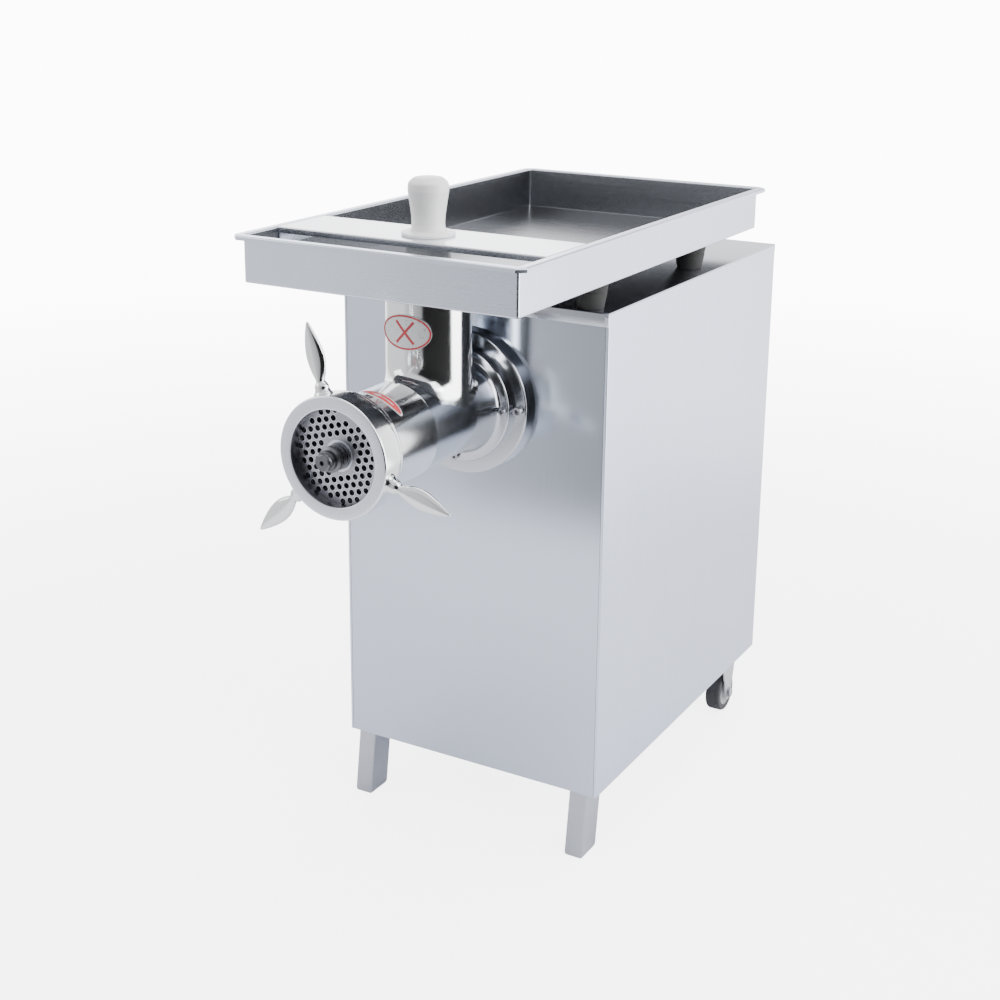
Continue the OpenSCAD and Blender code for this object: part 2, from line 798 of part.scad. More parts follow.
module stomper_ram() color("white") placed()
    translate([0, y_neck, 0]) rotate_extrude() polygon([[0, z_head + 66],
        [r_ram - 4, z_head + 66], [r_ram, z_head + 70],
        [r_ram, z_bridge + 0.2], [0, z_bridge + 0.2]]);

module stomper_grip() color("white") placed()
    translate([0, y_neck, z_bridge + 0.2]) rotate_extrude() polygon([[0, 0],
        [r_disc, 0], [r_disc, disc_h], [24, disc_h], [21.5, 8], [21, 14],
        [21.5, 24], [23.5, 38], [25.5, 50], [26.5, grip_h - 14],
        [25.5, grip_h - 7], [21, grip_h - 2.5], [14, grip_h - 0.2],
        [0, grip_h - 0.2]]);

// --------------------------------------------------- controls and cable

module control_bezel() color("dimgray") placed() difference() {
    box([-hx - 2, -hx], at(button_y, [-24, 24]), [start_z - 26, stop_z + 26]);
    for (z = [start_z, stop_z]) xcyl(11.5, -hx - 3, -hx + 1, button_y, z);
}

module control_box() color("gray") placed() difference() {
    box([-hx_in, -hx_in + 50], at(button_y, [-28, 28]), [start_z - 30, stop_z + 30]);
    box([-hx_in + 2, -hx_in + 48], at(button_y, [-26, 26]),
        [start_z - 28, stop_z + 28]);
    for (z = [start_z, stop_z]) xcyl(11.5, -hx_in - 1, -hx_in + 3, button_y, z);
}

module start_button() color("green") placed()
    xcyl(11.2, -hx - 3.5, -hx_in + 8, button_y, start_z);

module stop_button() color("red") placed()
    xcyl(11.2, -hx - 5, -hx_in + 8, button_y, stop_z);

module cable_gland() color("black") placed() difference() {
    union() {
        ycyl(9.9, y_rear_in - 6, y_rear, gland_x, gland_z);
        translate([gland_x, y_rear + 6, gland_z]) rotate([90, 0, 0])
            cylinder(r = 13, h = 6, $fn = 6);
        ylathe([[0, y_rear + 6 - e], [11, y_rear + 6 - e], [11, y_rear + 16],
            [8.5, y_rear + gland_len], [0, y_rear + gland_len]],
            gland_x, gland_z);
    }
    ycyl(r_cable, y_rear_in - 8, y_rear + gland_len + 1, gland_x, gland_z);
}

front_panel();
side_panel_left();
side_panel_right();
rear_panel();
top_cover();
floor_pan();
base_frame();
drive_plate();
front_leg_left();
front_leg_right();
caster_fork_left();
caster_fork_right();
caster_axles();
tray_supports();
panel_screws();
mounting_flange();
head_barrel();
head_hub();
flange_bolts();
hub_bolts();
plate_key();
shaft_seal();
neck_badge();
barrel_badge();
gear_case();
gear_case_cover();
gear_case_bolts();
drive_bearings();
motor_case();
motor_end_bells();
motor_bearings();
fan_cover();
motor_base();
drive_belts();
control_box();
control_bezel();
cable_gland();
auger_core();
auger_flight();
knife();
output_shaft();
output_gear();
input_shaft();
pinion_gear();
gearbox_pulley();
rotor();
motor_pulley();
motor_fan();
die_plate();
ring_nut();
ring_handles();
tray_pan();
tray_collar();
guard_bridge();
stomper_grip();
stomper_ram();
wheel_left();
wheel_right();
start_button();
stop_button();
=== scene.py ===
"""Blender scene of a floor-standing electric meat grinder.

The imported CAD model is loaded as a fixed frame. The visible sheet-metal,
polished, rubber and plastic pieces are rebuilt here with their real bends,
fillets and finishes, and ride on the CAD bodies.
"""

from __future__ import annotations

import json
import logging
import math
from dataclasses import dataclass
from enum import Enum
from typing import Iterable, Sequence

import bmesh
import bpy
from mathutils import Matrix, Vector

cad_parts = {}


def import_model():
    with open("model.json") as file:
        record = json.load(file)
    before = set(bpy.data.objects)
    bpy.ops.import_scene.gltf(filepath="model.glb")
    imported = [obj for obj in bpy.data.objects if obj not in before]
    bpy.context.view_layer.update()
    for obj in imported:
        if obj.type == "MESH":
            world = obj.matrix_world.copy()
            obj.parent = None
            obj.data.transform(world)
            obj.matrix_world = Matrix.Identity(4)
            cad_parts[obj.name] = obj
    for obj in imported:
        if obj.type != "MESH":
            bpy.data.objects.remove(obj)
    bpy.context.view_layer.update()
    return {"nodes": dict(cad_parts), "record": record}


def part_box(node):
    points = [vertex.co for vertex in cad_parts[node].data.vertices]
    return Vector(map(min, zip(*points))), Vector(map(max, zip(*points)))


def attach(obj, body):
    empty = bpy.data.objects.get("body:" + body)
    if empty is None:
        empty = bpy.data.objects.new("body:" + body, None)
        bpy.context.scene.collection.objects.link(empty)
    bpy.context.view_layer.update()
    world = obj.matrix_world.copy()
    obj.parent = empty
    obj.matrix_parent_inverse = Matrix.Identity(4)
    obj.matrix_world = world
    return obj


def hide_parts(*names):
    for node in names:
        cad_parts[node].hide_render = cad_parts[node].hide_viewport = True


LOG = logging.getLogger("grinder")
MM = 0.001
HEX_ROW = math.sqrt(0.75)
GRAIN_DEPTH = 0.0002
MOTTLE_SCALE = 9.0
WELD = 0.002
BEVEL_ANGLE = math.radians(30)
STRAIGHT = math.radians(89.5)
SHEET = 1.5
NECK_RADIUS = 55.5

Point2 = tuple[float, float]
Point3 = tuple[float, float, float]


class Axis(Enum):
    """A main axis, along which a (u, v) outline has a depth."""

    X = "X"
    Y = "Y"
    Z = "Z"

    def place(self, u: float, v: float, depth: float) -> Point3:
        """Returns the point with outline coordinates u, v at a depth."""
        if self is Axis.X:
            return (depth, u, v)
        if self is Axis.Y:
            return (u, depth, v)
        return (u, v, depth)


# ---------------------------------------------------------------- helpers


def world(x: float, y: float, z: float) -> Point3:
    """Turns millimetres in the cabinet's frame into metres in the row's."""
    return (x * MM, y * MM + Shell.front, z * MM)


def put(name: str, data: bpy.types.ID) -> bpy.types.Object:
    """Adds an object with its data to the scene."""
    obj = bpy.data.objects.new(name, data)
    bpy.context.scene.collection.objects.link(obj)
    return obj


def bake(obj: bpy.types.Object) -> None:
    """Turns an object's modifiers into plain mesh."""
    graph = bpy.context.evaluated_depsgraph_get()
    graph.update()
    mesh = bpy.data.meshes.new_from_object(obj.evaluated_get(graph))
    obj.modifiers.clear()
    obj.data = mesh


class Tree:
    """A small builder for any node tree."""

    def __init__(self, tree: bpy.types.NodeTree) -> None:
        """Takes the tree to add to."""
        self.tree = tree

    def node(self, kind: str, inputs: dict[object, object] | None = None,
             **settings: object) -> bpy.types.Node:
        """Adds a node; inputs are values or sockets to link from."""
        node = self.tree.nodes.new(kind)
        for key, value in settings.items():
            setattr(node, key, value)
        for key, value in (inputs or {}).items():
            socket = node.inputs[key]
            if isinstance(value, bpy.types.NodeSocket):
                self.link(value, socket)
            else:
                socket.default_value = value
        return node

    def link(self, source: bpy.types.NodeSocket,
             target: bpy.types.NodeSocket) -> None:
        """Joins two sockets."""
        self.tree.links.new(source, target)

    def math(self, operation: str, a: object,
             b: object = 0.0) -> bpy.types.NodeSocket:
        """Adds a math node and returns its result."""
        return self.node("ShaderNodeMath", {0: a, 1: b},
                         operation=operation).outputs[0]

    def noise(self, place: bpy.types.NodeSocket, scale: float,
              detail: float) -> bpy.types.NodeSocket:
        """Adds a noise texture and returns its factor."""
        return self.node("ShaderNodeTexNoise", {
            "Vector": place, "Scale": scale, "Detail": detail}).outputs[0]

    def combine(self, x: object = 0.0, y: object = 0.0,
                z: object = 0.0) -> bpy.types.NodeSocket:
        """Adds a vector made from three numbers."""
        return self.node("ShaderNodeCombineXYZ", {0: x, 1: y, 2: z}).outputs[0]

    def blend(self, share: object, first: object,
              second: object) -> bpy.types.NodeSocket:
        """Mixes two colours and returns the result."""
        node = self.node("ShaderNodeMix", {"Factor": share}, data_type="RGBA")
        for place, value in ((6, first), (7, second)):
            socket = node.inputs[place]
            if isinstance(value, bpy.types.NodeSocket):
                self.link(value, socket)
            else:
                socket.default_value = value
        return node.outputs[2]

    def ramp(self, value: object, low: float,
             high: float) -> bpy.types.NodeSocket:
        """Maps a value smoothly from low..high to 0..1."""
        return self.node("ShaderNodeMapRange", {
            "Value": value, "From Min": low, "From Max": high},
            interpolation_type="SMOOTHSTEP").outputs[0]


# --------------------------------------------------------------- finishes


@dataclass(frozen=True)
class Finish:
    """A surface finish, made once as a material.

    Grain is a stretched noise that varies roughness and lifts a fine bump.
    """

    name: str
    colour: tuple[float, float, float]
    metallic: float = 0.0
    roughness: float = 0.5
    grain: tuple[float, float, float] = (0.0, 0.0, 0.0)
    grain_rough: float = 0.0
    grain_bump: float = 0.0
    mottle: float = 0.0
    specular: float = 0.5

    def material(self) -> bpy.types.Material:
        """Returns the material, making it on first use."""
        found = bpy.data.materials.get(self.name)
        return found if found else self._make()

    def _make(self) -> bpy.types.Material:
        """Builds the node tree."""
        mat = bpy.data.materials.new(self.name)
        mat.use_nodes = True
        tree = Tree(mat.node_tree)
        shader = mat.node_tree.nodes["Principled BSDF"].inputs
        shader["Base Color"].default_value = (*self.colour, 1.0)
        shader["Metallic"].default_value = self.metallic
        shader["Roughness"].default_value = self.roughness
        shader["Specular IOR Level"].default_value = self.specular
        place = tree.node("ShaderNodeTexCoord").outputs["Object"]
        stretched = tree.node("ShaderNodeMapping", {
            "Vector": place, "Scale": self.grain}).outputs[0]
        noise = tree.noise(stretched, 1.0, 4.0)
        rough = tree.node("ShaderNodeMapRange", {
            "Value": noise, "From Min": 0.3, "From Max": 0.7,
            "To Min": self.roughness - self.grain_rough,
            "To Max": self.roughness + self.grain_rough}).outputs[0]
        bump = tree.node("ShaderNodeBump", {
            "Strength": self.grain_bump, "Distance": GRAIN_DEPTH,
            "Height": noise}).outputs[0]
        tree.link(rough, shader["Roughness"])
        tree.link(bump, shader["Normal"])
        if self.mottle:
            low, high = ([min(1.0, c * share) for c in self.colour] + [1.0]
                         for share in (1 - self.mottle, 1 + self.mottle))
            cloud = tree.noise(place, MOTTLE_SCALE, 2.0)
            tree.link(tree.blend(cloud, low, high), shader["Base Color"])
        return mat


STEEL = (0.62, 0.675, 0.79)
PANEL_FRONT = Finish("panel_front", STEEL, 1.0, 0.16, (260, 260, 5),
                     0.015, 0.006, 0.012)
PANEL_SIDE = Finish("panel_side", (0.71, 0.765, 0.90), 1.0, 0.29,
                    (260, 260, 5), 0.02, 0.008, 0.012)
TRAY_STEEL = Finish("tray_steel", (0.72, 0.77, 0.88), 1.0, 0.27, (7, 260, 260),
                    0.02, 0.008, 0.015)
# Painted shade: a darker copy of the tray steel for the pan's inner floor and
# walls.
TRAY_INSIDE_PAINTED_SHADE = Finish("tray_inside_painted_shade", (0.27, 0.28, 0.30), 1.0, 0.24,
                     (7, 260, 260), 0.02, 0.008, 0.02)
# Painted shade: a near-black copy of the tray steel for the underside of the
# pan's floor.
TRAY_UNDER_PAINTED_SHADE = Finish("tray_underside_painted_shade", (0.06, 0.063, 0.07), 1.0, 0.42,
                    (90, 90, 90), 0.05, 0.03, 0.03)
# Painted light: a near-white copy of the tray steel for the guard bridge's lit
# top.
GUARD_PAINTED_LIGHT = Finish("guard_steel_painted_light", (0.93, 0.95, 0.99), 1.0, 0.16,
                     (7, 260, 260), 0.015, 0.004, 0.01)
COVER_STEEL = Finish("cover_steel", (0.56, 0.585, 0.64), 1.0, 0.20,
                     (260, 7, 260), 0.02, 0.008, 0.012)
LEG_STEEL = Finish("leg_steel", (0.50, 0.52, 0.57), 1.0, 0.34, (160, 160, 8),
                   0.05, 0.03, 0.02)
POLISHED = Finish("polished_steel", (0.78, 0.80, 0.85), 1.0, 0.04,
                  (14, 14, 14), 0.01, 0.01)
SATIN = Finish("satin_cast", (0.74, 0.76, 0.80), 1.0, 0.13, (60, 60, 60),
               0.03, 0.02, 0.02)
# A satin finish, coloured darker than the polished barrel front as painted
# shade, for the flange and the barrel's rear.
SATIN_PAINTED_SHADE = Finish("satin_steel_painted_shade", (0.52, 0.54, 0.585), 1.0, 0.15, (60, 60, 60),
                0.02, 0.01, 0.02)
FACED = Finish("faced_steel", (0.80, 0.83, 0.92), 1.0, 0.30, (220, 220, 220),
               0.04, 0.04, 0.02)
PLATE_STEEL = Finish("plate_steel", (0.43, 0.44, 0.48), 1.0, 0.36,
                     (300, 300, 300), 0.06, 0.05, 0.03)
DARK_STEEL = Finish("dark_steel", (0.16, 0.16, 0.175), 1.0, 0.34, (90, 90, 90),
                    0.08, 0.08, 0.05)
SCREW_STEEL = Finish("screw_steel", (0.50, 0.50, 0.53), 1.0, 0.28,
                     (200, 200, 200), 0.06, 0.03, 0.02)
ZINC = Finish("zinc_plate", (0.60, 0.61, 0.63), 1.0, 0.34, (70, 70, 70),
              0.08, 0.05, 0.04)
PAINT = Finish("frame_paint", (0.20, 0.22, 0.24), 0.0, 0.5, (60, 60, 60),
               0.06, 0.08, 0.05)
CASTING = Finish("casting", (0.16, 0.20, 0.26), 0.2, 0.55, (110, 110, 110),
                 0.06, 0.25, 0.06)
RUBBER = Finish("black_rubber", (0.0025, 0.0025, 0.003), 0.0, 0.8,
                (160, 160, 160), 0.08, 0.12, 0.1, specular=0.03)
WHITE = Finish("white_plastic", (0.96, 0.96, 0.96), 0.0, 0.38, (130, 130, 130),
               0.05, 0.03)
TYRE = Finish("wheel_tread", (0.045, 0.045, 0.048), 0.0, 0.58, (120, 120, 120),
              0.08, 0.1, 0.08)
HUB = Finish("wheel_core", (0.42, 0.43, 0.45), 0.0, 0.45, (120, 120, 120),
             0.06, 0.05, 0.03)
BLACK = Finish("black_plastic", (0.02, 0.02, 0.022), 0.0, 0.42,
               (180, 180, 180), 0.06, 0.08, 0.05)
GREEN = Finish("green_button", (0.02, 0.34, 0.07), 0.0, 0.32, (100, 100, 100),
               0.04, 0.02, 0.03)
RED = Finish("red_button", (0.62, 0.02, 0.02), 0.0, 0.32, (100, 100, 100),
             0.04, 0.02, 0.03)
FOIL = Finish("badge_foil", (0.82, 0.83, 0.85), 0.35, 0.30, (150, 150, 150),
              0.05, 0.02, 0.02)
RED_INK = Finish("red_ink", (0.66, 0.07, 0.08), 0.0, 0.34, (150, 150, 150),
                 0.05, 0.02, 0.04)
SEAM = Finish("dark_seam", (0.02, 0.02, 0.022), 0.0, 0.7, (90, 90, 90),
              0.05, 0.05, 0.05)

CAD_FINISHES: dict[str, Finish] = {
    "panel_steel": PANEL_FRONT, "polished_steel": POLISHED,
    "satin_steel": SATIN, "fastener_steel": SCREW_STEEL,
    "drive_steel": FACED, "frame_paint": PAINT, "cast_housing": CASTING,
    "motor_alloy": CASTING, "black_rubber": RUBBER, "white_plastic": WHITE,
    "wheel_plastic": TYRE, "dark_plastic": BLACK, "green_plastic": GREEN,
    "red_plastic": RED, "badge_print": FOIL,
}


# ----------------------------------------------------------------- shapes


def rounded(points: Sequence[Point2], radii: float | Sequence[float],
            closed: bool = False, steps: int = 5) -> list[Point2]:
    """Rounds the corners of a line.

    Args:
        points: the line's corners.
        radii: one rounding for all corners, or one for each.
        closed: whether the line closes on itself.
        steps: segments in each rounded corner.

    Returns:
        The rounded line's points.
    """
    count = len(points)
    each = list(radii) if isinstance(radii, Sequence) else [radii] * count
    out: list[Point2] = []
    for i, point in enumerate(points):
        if each[i] <= 0 or (not closed and i in (0, count - 1)):
            out.append(point)
            continue
        here = Vector(point)
        before = Vector(points[i - 1]) - here
        after = Vector(points[(i + 1) % count]) - here
        if before.length < 1e-6 or after.length < 1e-6:
            out.append(point)
            continue
        half = before.angle(after) / 2
        if half > STRAIGHT:
            out.append(point)
            continue
        reach = min(each[i] / math.tan(half), before.length * 0.49,
                    after.length * 0.49)
        a = here + before.normalized() * reach
        b = here + after.normalized() * reach
        for k in range(steps + 1):
            t = k / steps
            p = a * (1 - t) ** 2 + here * 2 * t * (1 - t) + b * t ** 2
            out.append((p.x, p.y))
    return out


def thicken(line: Sequence[Point2], thickness: float) -> list[Point2]:
    """Returns the closed outline of a bent sheet whose outer face is the line.

    Args:
        line: the outer face's points; the sheet lies to the line's left.
        thickness: the sheet's thickness.
    """
    inner: list[Point2] = []
    for i, point in enumerate(line):
        a = Vector(line[max(i - 1, 0)])
        b = Vector(line[min(i + 1, len(line) - 1)])
        along = (b - a).normalized()
        left = Vector((-along.y, along.x)) * thickness
        inner.append((point[0] + left.x, point[1] + left.y))
    return list(line) + inner[::-1]


def circle(radius: float, count: int,
           centre: Point2 = (0, 0)) -> list[Point2]:
    """Returns the points of a circle."""
    turn = 2 * math.pi / count
    return [(centre[0] + radius * math.cos(turn * i),
             centre[1] + radius * math.sin(turn * i))
            for i in range(count)]


def smooth(t: float) -> float:
    """Returns a step from 0 to 1 with level ends."""
    t = min(max(t, 0.0), 1.0)
    return t * t * (3 - 2 * t)


class Shell:
    """Gathers faces in millimetres from the cabinet's front foot line.
    """

    front = 0.0

    def __init__(self) -> None:
        """Starts with no faces."""
        self.bm = bmesh.new()

    def loft(self, rings: Sequence[Sequence[Point3]], caps: bool = False,
             join: bool = False) -> Shell:
        """Joins closed rings of equally many points with quads.

        Args:
            rings: the rings, in order.
            caps: whether the first and last ring are filled.
            join: whether the last ring joins the first.

        Returns:
            The same shell, as the other shapes do.
        """
        rows = [[self.bm.verts.new(p) for p in ring] for ring in rings]
        pairs = list(zip(rows, rows[1:]))
        if join:
            pairs.append((rows[-1], rows[0]))
        for low, high in pairs:
            count = len(low)
            for i in range(count):
                j = (i + 1) % count
                self.bm.faces.new((low[i], low[j], high[j], high[i]))
        if caps:
            self.bm.faces.new(rows[0][::-1])
            self.bm.faces.new(rows[-1])
        return self

    def lathe(self, profile: Sequence[Point2], axis: Axis,
              centre: Point2 = (0, 0), count: int = 96,
              closed: bool = False) -> Shell:
        """Revolves (radius, depth) points about a line along an axis."""
        rings = []
        for radius, depth in profile:
            rings.append([axis.place(u, v, depth) for u, v in
                          circle(max(radius, 1e-4), count, centre)])
        return self.loft(rings, join=closed)

    def prism(self, outline: Sequence[Point2], axis: Axis, low: float,
              high: float) -> Shell:
        """Extrudes a closed outline along an axis."""
        return self.loft([[axis.place(u, v, d) for u, v in outline]
                          for d in (low, high)], caps=True)

    def box(self, low: Point3, high: Point3) -> Shell:
        """Adds a box."""
        (x0, y0, z0), (x1, y1, z1) = low, high
        return self.prism([(x0, y0), (x1, y0), (x1, y1), (x0, y1)],
                          Axis.Z, z0, z1)

    def mesh(self, name: str) -> bpy.types.Mesh:
        """Returns the cleaned mesh in metres, with faces outward."""
        bmesh.ops.remove_doubles(self.bm, verts=self.bm.verts, dist=WELD)
        bmesh.ops.dissolve_degenerate(self.bm, edges=self.bm.edges, dist=1e-4)
        bmesh.ops.recalc_face_normals(self.bm, faces=self.bm.faces)
        for v in self.bm.verts:
            v.co = world(*v.co)
        mesh = bpy.data.meshes.new(name)
        self.bm.to_mesh(mesh)
        self.bm.free()
        return mesh

    def finish(self, name: str, finish: Finish, body: str, slot: str,
               replaces: Iterable[str] = (), bevel: float = 0.0,
               segments: int = 2, sharp: float = 32.0) -> bpy.types.Object:
        """Makes the piece and hands it to the frame.

        Args:
            name: the piece's name.
            finish: its surface.
            body: the CAD body it rides on.
            slot: the record's material slot; not used.
            replaces: the CAD nodes it stands for.
            bevel: width in millimetres of the rounding of its edges.
            segments: segments across a rounded edge.
            sharp: angle in degrees above which an edge stays sharp.

        Returns:
            The new object.
        """
        obj = put(name, self.mesh(name))
        if bevel > 0:
            mod = obj.modifiers.new("edges", "BEVEL")
            mod.width = bevel * MM
            mod.segments = segments
            mod.limit_method = "ANGLE"
            mod.angle_limit = BEVEL_ANGLE
            bake(obj)
        return register(obj, finish, body, slot, replaces, sharp)


def register(obj: bpy.types.Object, finish: Finish, body: str, slot: str,
             replaces: Iterable[str] = (),
             sharp: float = 32.0) -> bpy.types.Object:
    """Shades a plain object and hands it over, as Shell.finish says."""
    mesh = obj.data
    mesh.materials.clear()
    mesh.materials.append(finish.material())
    mesh.polygons.foreach_set("material_index", [0] * len(mesh.polygons))
    mesh.polygons.foreach_set("use_smooth", [True] * len(mesh.polygons))
    mesh.set_sharp_from_angle(angle=math.radians(sharp))
    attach(obj, body)
    if replaces:
        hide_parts(*replaces)
    LOG.info("%s: %d faces on %s", obj.name, len(mesh.polygons), body)
    return obj


def cut(obj: bpy.types.Object, cutter: Shell, name: str) -> None:
    """Takes a closed shape out of an object, before it is registered."""
    tool = put(name, cutter.mesh(name))
    mod = obj.modifiers.new(name, "BOOLEAN")
    mod.operation = "DIFFERENCE"
    mod.solver = "EXACT"
    mod.object = tool
    bake(obj)
    bpy.data.objects.remove(tool)


# --------------------------------------------------------- geometry nodes


class NodeTree(Tree):
    """A Geometry Nodes tree with named inputs."""

    def __init__(self, name: str) -> None:
        """Starts an empty tree with a geometry output."""
        super().__init__(bpy.data.node_groups.new(name, "GeometryNodeTree"))
        self.tree.interface.new_socket(
            name="Geometry", in_out="OUTPUT", socket_type="NodeSocketGeometry")
        self.inputs = self.tree.nodes.new("NodeGroupInput")
        self.output = self.tree.nodes.new("NodeGroupOutput")
        self.values: dict[str, object] = {}

    def socket(self, name: str, kind: str,
               value: object) -> bpy.types.NodeSocket:
        """Adds a named input with the value its modifier will set."""
        self.tree.interface.new_socket(
            name=name, in_out="INPUT", socket_type=kind)
        self.values[name] = value
        return self.inputs.outputs[name]

    def number(self, name: str, value: float) -> bpy.types.NodeSocket:
        """Adds a named float input."""
        return self.socket(name, "NodeSocketFloat", value)

    def count(self, name: str, value: int) -> bpy.types.NodeSocket:
        """Adds a named whole-number input."""
        return self.socket(name, "NodeSocketInt", value)

    def instances(self, points: bpy.types.NodeSocket, part: bpy.types.Object,
                  rotation: bpy.types.NodeSocket | None = None
                  ) -> bpy.types.NodeSocket:
        """Puts a part on every point."""
        source = self.socket("Part", "NodeSocketObject", part)
        info = self.node("GeometryNodeObjectInfo", {"Object": source})
        inputs: dict[object, object] = {
            "Points": points, "Instance": info.outputs["Geometry"]}
        if rotation is not None:
            inputs["Rotation"] = rotation
        return self.node("GeometryNodeInstanceOnPoints", inputs).outputs[0]

    def finish(self, geometry: bpy.types.NodeSocket, name: str,
               finish: Finish,
               part: bpy.types.Object | None = None) -> bpy.types.Object:
        """Ends the tree in realized instances, runs it and drops the part."""
        real = self.node("GeometryNodeRealizeInstances", {
            "Geometry": geometry}).outputs[0]
        dressed = self.node("GeometryNodeSetMaterial", {
            "Geometry": real, "Material": finish.material()}).outputs[0]
        self.link(dressed, self.output.inputs[0])
        obj = put(name, bpy.data.meshes.new(name))
        mod = obj.modifiers.new("pattern", "NODES")
        mod.node_group = self.tree
        for item in self.tree.interface.items_tree:
            if item.item_type == "SOCKET" and item.in_out == "INPUT":
                mod[item.identifier] = self.values[item.name]
        bake(obj)
        if part:
            bpy.data.objects.remove(part)
        return obj


def part_object(shell: Shell, name: str) -> bpy.types.Object:
    """Makes a hidden part round the origin, for a pattern to repeat."""
    front, Shell.front = Shell.front, 0.0
    mesh = shell.mesh(name)
    Shell.front = front
    mesh.polygons.foreach_set("use_smooth", [True] * len(mesh.polygons))
    obj = put(name, mesh)
    obj.hide_render = True
    return obj


def ring_pattern(name: str, part: bpy.types.Object, finish: Finish,
                 count: int, radius: float, start: float,
                 centre: Point3) -> bpy.types.Object:
    """Repeats a part round a circle that faces along Y.

    The start is the first one's angle in degrees from straight up.
    """
    tree = NodeTree(name)
    number = tree.count("Count", count)
    reach = tree.number("Radius", radius * MM)
    first = tree.number("Start", math.radians(start))
    step = tree.math("DIVIDE", 2 * math.pi, number)
    index = tree.node("GeometryNodeInputIndex").outputs[0]
    angle = tree.math("ADD", tree.math("MULTIPLY", index, step), first)
    place = tree.combine(
        tree.math("MULTIPLY", tree.math("SINE", angle), reach), 0.0,
        tree.math("MULTIPLY", tree.math("COSINE", angle), reach))
    cloud = tree.node("GeometryNodePoints", {
        "Count": number, "Position": place}).outputs[0]
    turned = tree.instances(cloud, part, tree.combine(0.0, angle, 0.0))
    moved = tree.node("GeometryNodeTransform", {
        "Geometry": turned, "Translation": world(*centre)}).outputs[0]
    return tree.finish(moved, name, finish, part)


def line_pattern(name: str, part: bpy.types.Object, finish: Finish,
                 columns: Sequence[float], count: int, start: Point2,
                 pitch: float) -> bpy.types.Object:
    """Repeats a part up columns at some X positions.

    The start gives the lowest row's Y and Z.
    """
    tree = NodeTree(name)
    number = tree.count("Count", count)
    rise = tree.number("Pitch", pitch * MM)
    joined = tree.node("GeometryNodeJoinGeometry")
    offset = tree.combine(0.0, 0.0, rise)
    for x in columns:
        line = tree.node("GeometryNodeMeshLine", {
            "Count": number, "Start Location": world(x, *start),
            "Offset": offset})
        tree.link(line.outputs[0], joined.inputs[0])
    made = tree.instances(joined.outputs[0], part)
    return tree.finish(made, name, finish, part)


def hex_pattern(name: str, part: bpy.types.Object, finish: Finish,
                pitch: float, inner: float, outer: float, turn: float,
                gap: Point3, centre: Point3) -> bpy.types.Object:
    """Repeats a part on a triangular grid between two radii, facing along Y.

    The turn is in degrees. The gap is the middle (X, Z) and the radius of a
    spot without parts, before turning.
    """
    tree = NodeTree(name)
    step = tree.number("Pitch", pitch * MM)
    low = tree.number("Inner radius", inner * MM)
    high = tree.number("Outer radius", outer * MM)
    angle = tree.number("Turn", math.radians(turn))
    side = 2 * int(outer / (pitch * HEX_ROW)) + 5
    index = tree.node("GeometryNodeInputIndex").outputs[0]
    row = tree.math("FLOOR", tree.math("DIVIDE", index, side))
    column = tree.math("MODULO", index, side)
    middle = (side - 1) / 2
    j = tree.math("SUBTRACT", row, middle)
    i = tree.math("SUBTRACT", column, middle)
    odd = tree.math("MODULO", tree.math("ABSOLUTE", j), 2.0)
    shifted = tree.math("ADD", i, tree.math("MULTIPLY", odd, 0.5))
    u = tree.math("MULTIPLY", shifted, step)
    v = tree.math("MULTIPLY", tree.math("MULTIPLY", j, HEX_ROW), step)
    cloud = tree.node("GeometryNodePoints", {
        "Count": side * side, "Position": tree.combine(u, 0.0, v)}).outputs[0]
    position = tree.node("GeometryNodeInputPosition").outputs[0]
    length = tree.node("ShaderNodeVectorMath", {0: position},
                       operation="LENGTH").outputs["Value"]
    far = tree.math("GREATER_THAN", length, high)
    near = tree.math("LESS_THAN", length, low)
    bare = tree.number("Gap radius", gap[2] * MM)
    spot = (gap[0] * MM, 0.0, gap[1] * MM)
    reach = tree.node("ShaderNodeVectorMath", {0: position, 1: spot},
                      operation="DISTANCE").outputs["Value"]
    missing = tree.math("LESS_THAN", reach, bare)
    gone = tree.math("MAXIMUM", tree.math("MAXIMUM", far, near), missing)
    kept = tree.node("GeometryNodeDeleteGeometry", {
        "Geometry": cloud, "Selection": gone}).outputs[0]
    made = tree.instances(kept, part)
    moved = tree.node("GeometryNodeTransform", {
        "Geometry": made,
        "Translation": world(*centre),
        "Rotation": tree.combine(0.0, angle, 0.0)}).outputs[0]
    return tree.finish(moved, name, finish, part)


def thread(name: str, finish: Finish, body: str, turns: float, radius: float,
           length: float, wire: float, facets: int, start: Point3) -> None:
    """Winds a thin round thread about a line along Y, from a start point."""
    tree = NodeTree(name)
    reach = tree.number("Radius", radius * MM)
    spiral = tree.node("GeometryNodeCurveSpiral", {
        "Resolution": facets, "Rotations": tree.number("Turns", turns),
        "Start Radius": reach, "End Radius": reach,
        "Height": tree.number("Length", length * MM)})
    section = tree.node("GeometryNodeCurvePrimitiveCircle", {
        "Resolution": 6, "Radius": tree.number("Thread", wire * MM)},
        mode="RADIUS")
    tube = tree.node("GeometryNodeCurveToMesh", {
        "Curve": spiral.outputs[0], "Profile Curve": section.outputs[0],
        "Fill Caps": True})
    moved = tree.node("GeometryNodeTransform", {
        "Geometry": tube.outputs[0], "Translation": world(*start),
        "Rotation": (-math.pi / 2, 0, 0)})
    obj = tree.finish(moved.outputs[0], name, finish)
    register(obj, finish, body, "satin_steel")


